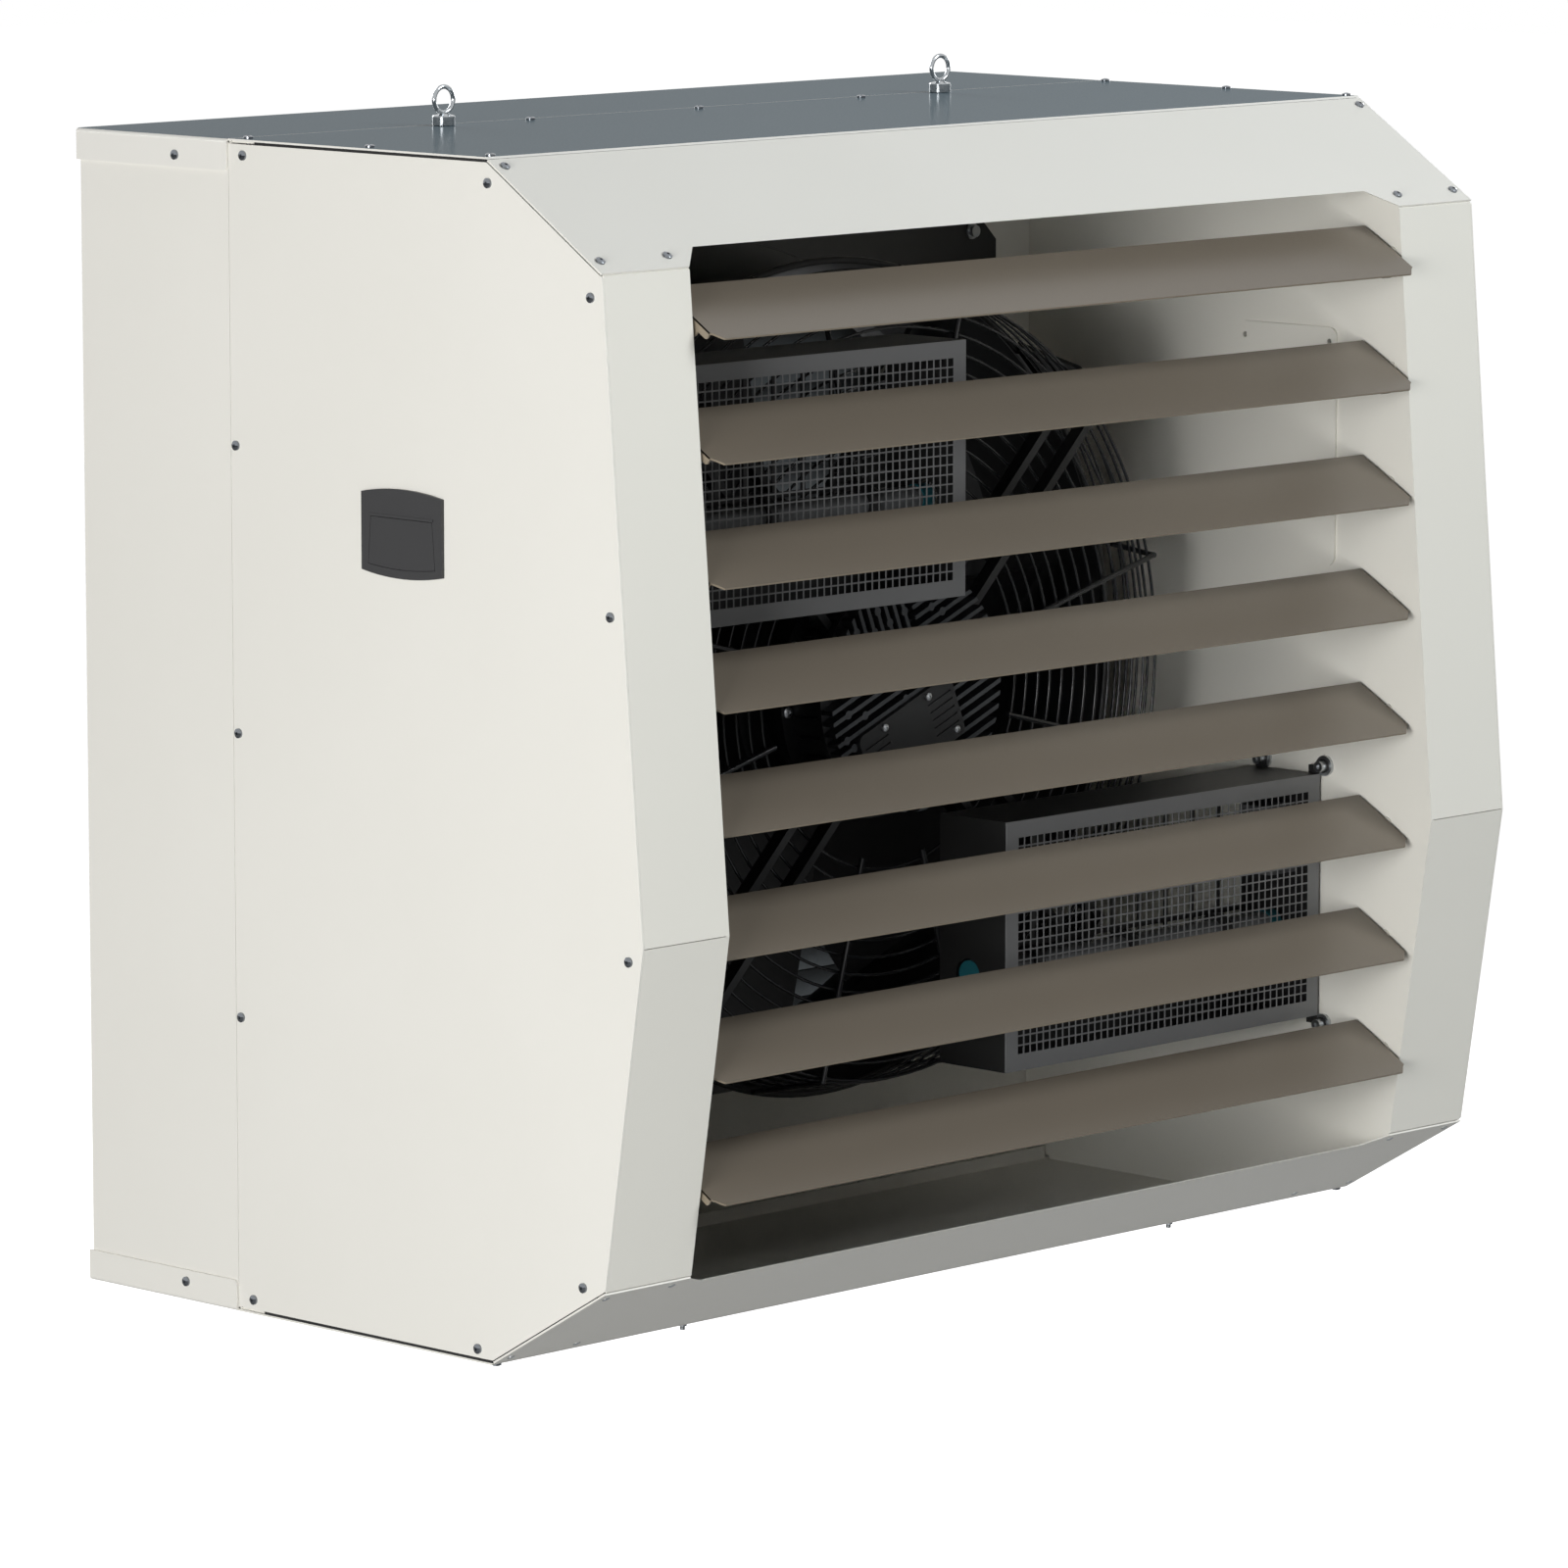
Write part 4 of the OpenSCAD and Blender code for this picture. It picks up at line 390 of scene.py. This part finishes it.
# ---- Louvres --------------------------------------------------------------------------------
# Each blade is a slightly crowned strip of aluminium with clipped front corners. Its ends are
# folded down and widen to a tab for the pivot pin, which turns in an acetal bush in the wall.
blade_half = 526.3 * mm
blade_chord = 90 * mm
blade_t = 2.0 * mm
blade_crown = 1.0 * mm
blade_lift = 5.0 * mm
blade_tilt = math.radians(30.8)
corner_len = 12 * mm
corner_cut = 10.5 * mm
tab_half = 20 * mm
tab_low = -12 * mm
tab_round = 6 * mm
end_rim = 9 * mm
end_nip = 3 * mm
pin_r = 3 * mm
pin_chamfer = 0.6 * mm
pin_inside = 6 * mm
pin_outside = 13.2 * mm
finger_clip = (16 * mm, 8 * mm, 5.5 * mm)
finger_clip_at = (blade_half - 45 * mm, -38 * mm, 1.75 * mm)
brown_coat = powder_coat("warm_grey_louvre_coat", "6D6458", "665E53", 1.8, 0.34, 0.12)
# painted highlight: a lighter beige tone on the blades' front edges and folded ends
painted_edge_highlight = powder_coat("louvre_painted_edge_highlight", "857A69", "7C7262", 1.8, 0.4, 0.1)
dress(powder_coat("natural_acetal", "CDCAC0", "C6C3B9", 1.0, 0.35, 0.1), "louvre_bushes")


def crown(y):
    """Height of the blade's middle plane over its chord line."""
    radius = (blade_chord ** 2 / 4 + blade_crown ** 2) / (2 * blade_crown)
    return math.sqrt(max(radius ** 2 - y ** 2, 0)) - radius + blade_crown


def front_edge(x):
    """Chordwise place of the front edge, drawn back at the clipped corners."""
    reach = max(0.0, (abs(x) - (blade_half - corner_len)) / corner_len)
    return -blade_chord / 2 + corner_cut * min(1.15 * reach, 0.28 + 0.72 * reach)


def louvre_mesh():
    """One blade about its pivot line: crowned strip, folded ends with tabs and pins, finger clip."""
    mesh = bmesh.new()
    ends = [blade_half - corner_len * t for t in (0, 0.15, 0.35, 0.6, 0.8, 1.0)]
    xs = [-x for x in ends] + [blade_half * t for t in (-0.8, -0.5, -0.25, 0, 0.25, 0.5, 0.8)]
    xs += ends[::-1]
    steps = 14
    top, bottom, edge_faces = [], [], []
    for x in xs:
        start = front_edge(x)
        row_top, row_bottom = [], []
        for i in range(steps + 1):
            y = start + (blade_chord / 2 - start) * i / steps
            z = blade_lift + crown(y)
            row_top.append(mesh.verts.new((x, y, z)))
            row_bottom.append(mesh.verts.new((x, y, z - blade_t)))
        top.append(row_top)
        bottom.append(row_bottom)
    n = len(xs)
    for i in range(n - 1):
        for k in range(steps):
            mesh.faces.new((top[i][k], top[i + 1][k], top[i + 1][k + 1], top[i][k + 1]))
            mesh.faces.new((bottom[i][k], bottom[i][k + 1], bottom[i + 1][k + 1],
                            bottom[i + 1][k]))
        edge_faces.append(mesh.faces.new((top[i][0], bottom[i][0], bottom[i + 1][0],
                                          top[i + 1][0])))
        mesh.faces.new((top[i][steps], top[i + 1][steps], bottom[i + 1][steps],
                        bottom[i][steps]))
    for i in (0, n - 1):
        for k in range(steps):
            mesh.faces.new((top[i][k], top[i][k + 1], bottom[i][k + 1], bottom[i][k]))
    # folded ends, which widen to the round cornered pivot tabs, and the pivot pins
    rear = blade_chord / 2
    front = corner_cut - rear

    def rim(y):
        return blade_lift + crown(y) - end_rim

    outline = [(y, blade_lift + crown(y)) for y in (front + (rear - front) * k / 8
                                                    for k in range(9))]
    outline += [(rear, rim(rear) + end_nip), (rear - end_nip * 0.3, rim(rear) + end_nip * 0.3),
                (rear - end_nip, rim(rear)), (tab_half, rim(tab_half))]
    for centre, start in ((tab_half - tab_round, 0), (-tab_half + tab_round, -90)):
        outline += [(centre + tab_round * math.cos(math.radians(start - a)),
                     tab_low + tab_round + tab_round * math.sin(math.radians(start - a)))
                    for a in (0, 22.5, 45, 67.5, 90)]
    outline += [(-tab_half, rim(tab_half)), (front + end_nip, rim(front)),
                (front + end_nip * 0.3, rim(front) + end_nip * 0.3),
                (front, rim(front) + end_nip)]
    for side in (-1, 1):
        outer = [mesh.verts.new((side * blade_half, y, z)) for y, z in outline]
        inner = [mesh.verts.new((side * (blade_half - blade_t), y, z)) for y, z in outline]
        edge_faces += [mesh.faces.new(outer), mesh.faces.new(inner[::-1])]
        for k in range(len(outline)):
            j = (k + 1) % len(outline)
            edge_faces.append(mesh.faces.new((outer[k], outer[j], inner[j], inner[k])))
        pin = Matrix.Rotation(math.pi / 2, 3, "Y")
        turned(mesh, [(pin_r - pin_chamfer, side * (blade_half - pin_inside)),
                      (pin_r, side * (blade_half - pin_inside + pin_chamfer)),
                      (pin_r, side * (blade_half + pin_outside - pin_chamfer)),
                      (pin_r - pin_chamfer, side * (blade_half + pin_outside))],
               (0, 0, 0), 24, pin)
    # finger clip under the front edge, near the right end
    clip = bmesh.ops.create_cube(mesh, size=1, matrix=Matrix.Translation(finger_clip_at)
                                 @ Matrix.Diagonal((*finger_clip, 1)))
    bmesh.ops.bevel(mesh, geom=list({e for v in clip["verts"] for e in v.link_edges}),
                    offset=1.2 * mm, segments=2, affect="EDGES")
    # the front edge faces and the folded ends take the painted highlight
    for face in edge_faces:
        face.material_index = 1
    return mesh


louvre_pivots = {j["child"]: j for j in frame["joints"] if j["name"].startswith("louvre")}
for body, joint in sorted(louvre_pivots.items()):
    mesh = louvre_mesh()
    mesh.transform(Matrix.Translation(joint["pos_m"])
                   @ Matrix.Rotation(blade_tilt, 4, "X"))
    number = body.split("_")[1]
    blade = settle(mesh, "louvre_blade_" + number, [brown_coat, painted_edge_highlight], body,
                   40)
    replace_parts(blade, "louvre_" + number)

# ---- Camera, lamps and floor ----------------------------------------------------------------
# The camera stands where the photograph was taken: 45.5 degrees round to the left and 8.3 degrees
# above, with a long lens, tilted down at the object. Big soft lamps on all sides and a pale floor
# make the studio.
camera_data = bpy.data.cameras.new("camera")
camera_data.sensor_width = 36
photo_px, focal_px = 1600, 8666.56
camera_data.lens = camera_data.sensor_width * focal_px / photo_px
camera_data.clip_end = 100
camera = bpy.data.objects.new("camera", camera_data)
bpy.context.scene.collection.objects.link(camera)
azimuth, pitch = 0.794848, 0.145495
ahead = Vector((math.sin(azimuth) * math.cos(pitch), math.cos(azimuth) * math.cos(pitch),
                -math.sin(pitch)))
right = Vector((math.cos(azimuth), -math.sin(azimuth), 0))
above = right.cross(ahead)
floor_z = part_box("hood_floor")[0][2]
target = Vector((-0.05, 0.3 - 0.356, floor_z + 0.6))
camera.location = target - ahead * 8.98217 + right * 0.08476 - above * 0.10874
camera.rotation_euler = Matrix((right, above, -ahead)).transposed().to_euler()
bpy.context.scene.camera = camera


def lamp(name, place, size, power, aim=target, colour=(1, 1, 1)):
    """A soft rectangular lamp of the given size and power, turned to the object."""
    data = bpy.data.lights.new(name, "AREA")
    data.color = colour
    data.shape = "RECTANGLE"
    data.size, data.size_y = size
    data.energy = power
    light = bpy.data.objects.new(name, data)
    light.location = place
    light.rotation_euler = (aim - Vector(place)).to_track_quat("-Z", "Y").to_euler()
    bpy.context.scene.collection.objects.link(light)


lamp("soft_front", (2.3, -4.4, 3.45), (2.4, 2.4), 266, colour=(0.93, 0.97, 1.0))
lamp("soft_left", (-5.9, -2.6, -0.35), (2.4, 2.4), 330)
lamp("soft_top", (0.0, -0.8, 3.4), (3.5, 3.0), 3, colour=(0.9, 0.96, 1.0))
lamp("soft_back", (1.5, 6.2, 1.2), (3.0, 2.4), 260)
lamp("soft_right", (6.2, 1.6, -0.1), (2.4, 2.4), 165)

world = bpy.data.worlds.new("studio")
bpy.context.scene.world = world
world.use_nodes = True
sky = world.node_tree
sky.nodes.clear()
# the camera, glass and gloss see the world as white; as a light it is dim
path = add(sky, "ShaderNodeLightPath", {})
seen = add(sky, "ShaderNodeMath", {},
           {0: path.outputs["Is Camera Ray"], 1: path.outputs["Is Transmission Ray"]})
seen = add(sky, "ShaderNodeMath", {"use_clamp": True},
           {0: seen.outputs["Value"], 1: path.outputs["Is Glossy Ray"]})
dim = add(sky, "ShaderNodeBackground", {"Color": (1, 1, 1, 1), "Strength": 0.05})
white = add(sky, "ShaderNodeBackground", {"Color": (1, 1, 1, 1), "Strength": 1.0})
choice = add(sky, "ShaderNodeMixShader", {},
             {0: seen.outputs["Value"], 1: dim.outputs["Background"],
              2: white.outputs["Background"]})
add(sky, "ShaderNodeOutputWorld", {}, {"Surface": choice.outputs["Shader"]})

floor_half, floor_drop = 30, 0.9
mesh = bmesh.new()
bmesh.ops.create_grid(mesh, x_segments=1, y_segments=1, size=floor_half)
floor_data = bpy.data.meshes.new("floor")
mesh.to_mesh(floor_data)
mesh.free()
floor = bpy.data.objects.new("floor", floor_data)
floor.location = (0, 0, floor_z - floor_drop)
bpy.context.scene.collection.objects.link(floor)
# grey under the object, where its shadow falls, and white to the camera farther out
pale, tree, place = new_finish("pale_floor")
path = add(tree, "ShaderNodeLightPath", {})
matt = add(tree, "ShaderNodeBsdfDiffuse", {"Color": (0.37, 0.37, 0.37, 1)})
away = add(tree, "ShaderNodeVectorMath", {"operation": "LENGTH"}, {0: place})
spread = add(tree, "ShaderNodeMapRange", {"From Min": 1.2, "From Max": 2.4, "To Min": 0.72,
                                          "To Max": 1.0}, {"Value": away.outputs["Value"]})
glow = add(tree, "ShaderNodeEmission", {"Color": (1, 1, 1, 1)},
           {"Strength": spread.outputs["Result"]})
lit = add(tree, "ShaderNodeAddShader", {}, {0: matt.outputs["BSDF"], 1: glow.outputs["Emission"]})
mixed = add(tree, "ShaderNodeMixShader", {}, {0: path.outputs["Is Camera Ray"],
                                              1: matt.outputs["BSDF"], 2: lit.outputs["Shader"]})
add(tree, "ShaderNodeOutputMaterial", {}, {"Surface": mixed.outputs["Shader"]})
floor_data.materials.append(pale)
bpy.context.scene.view_settings.view_transform = "Standard"
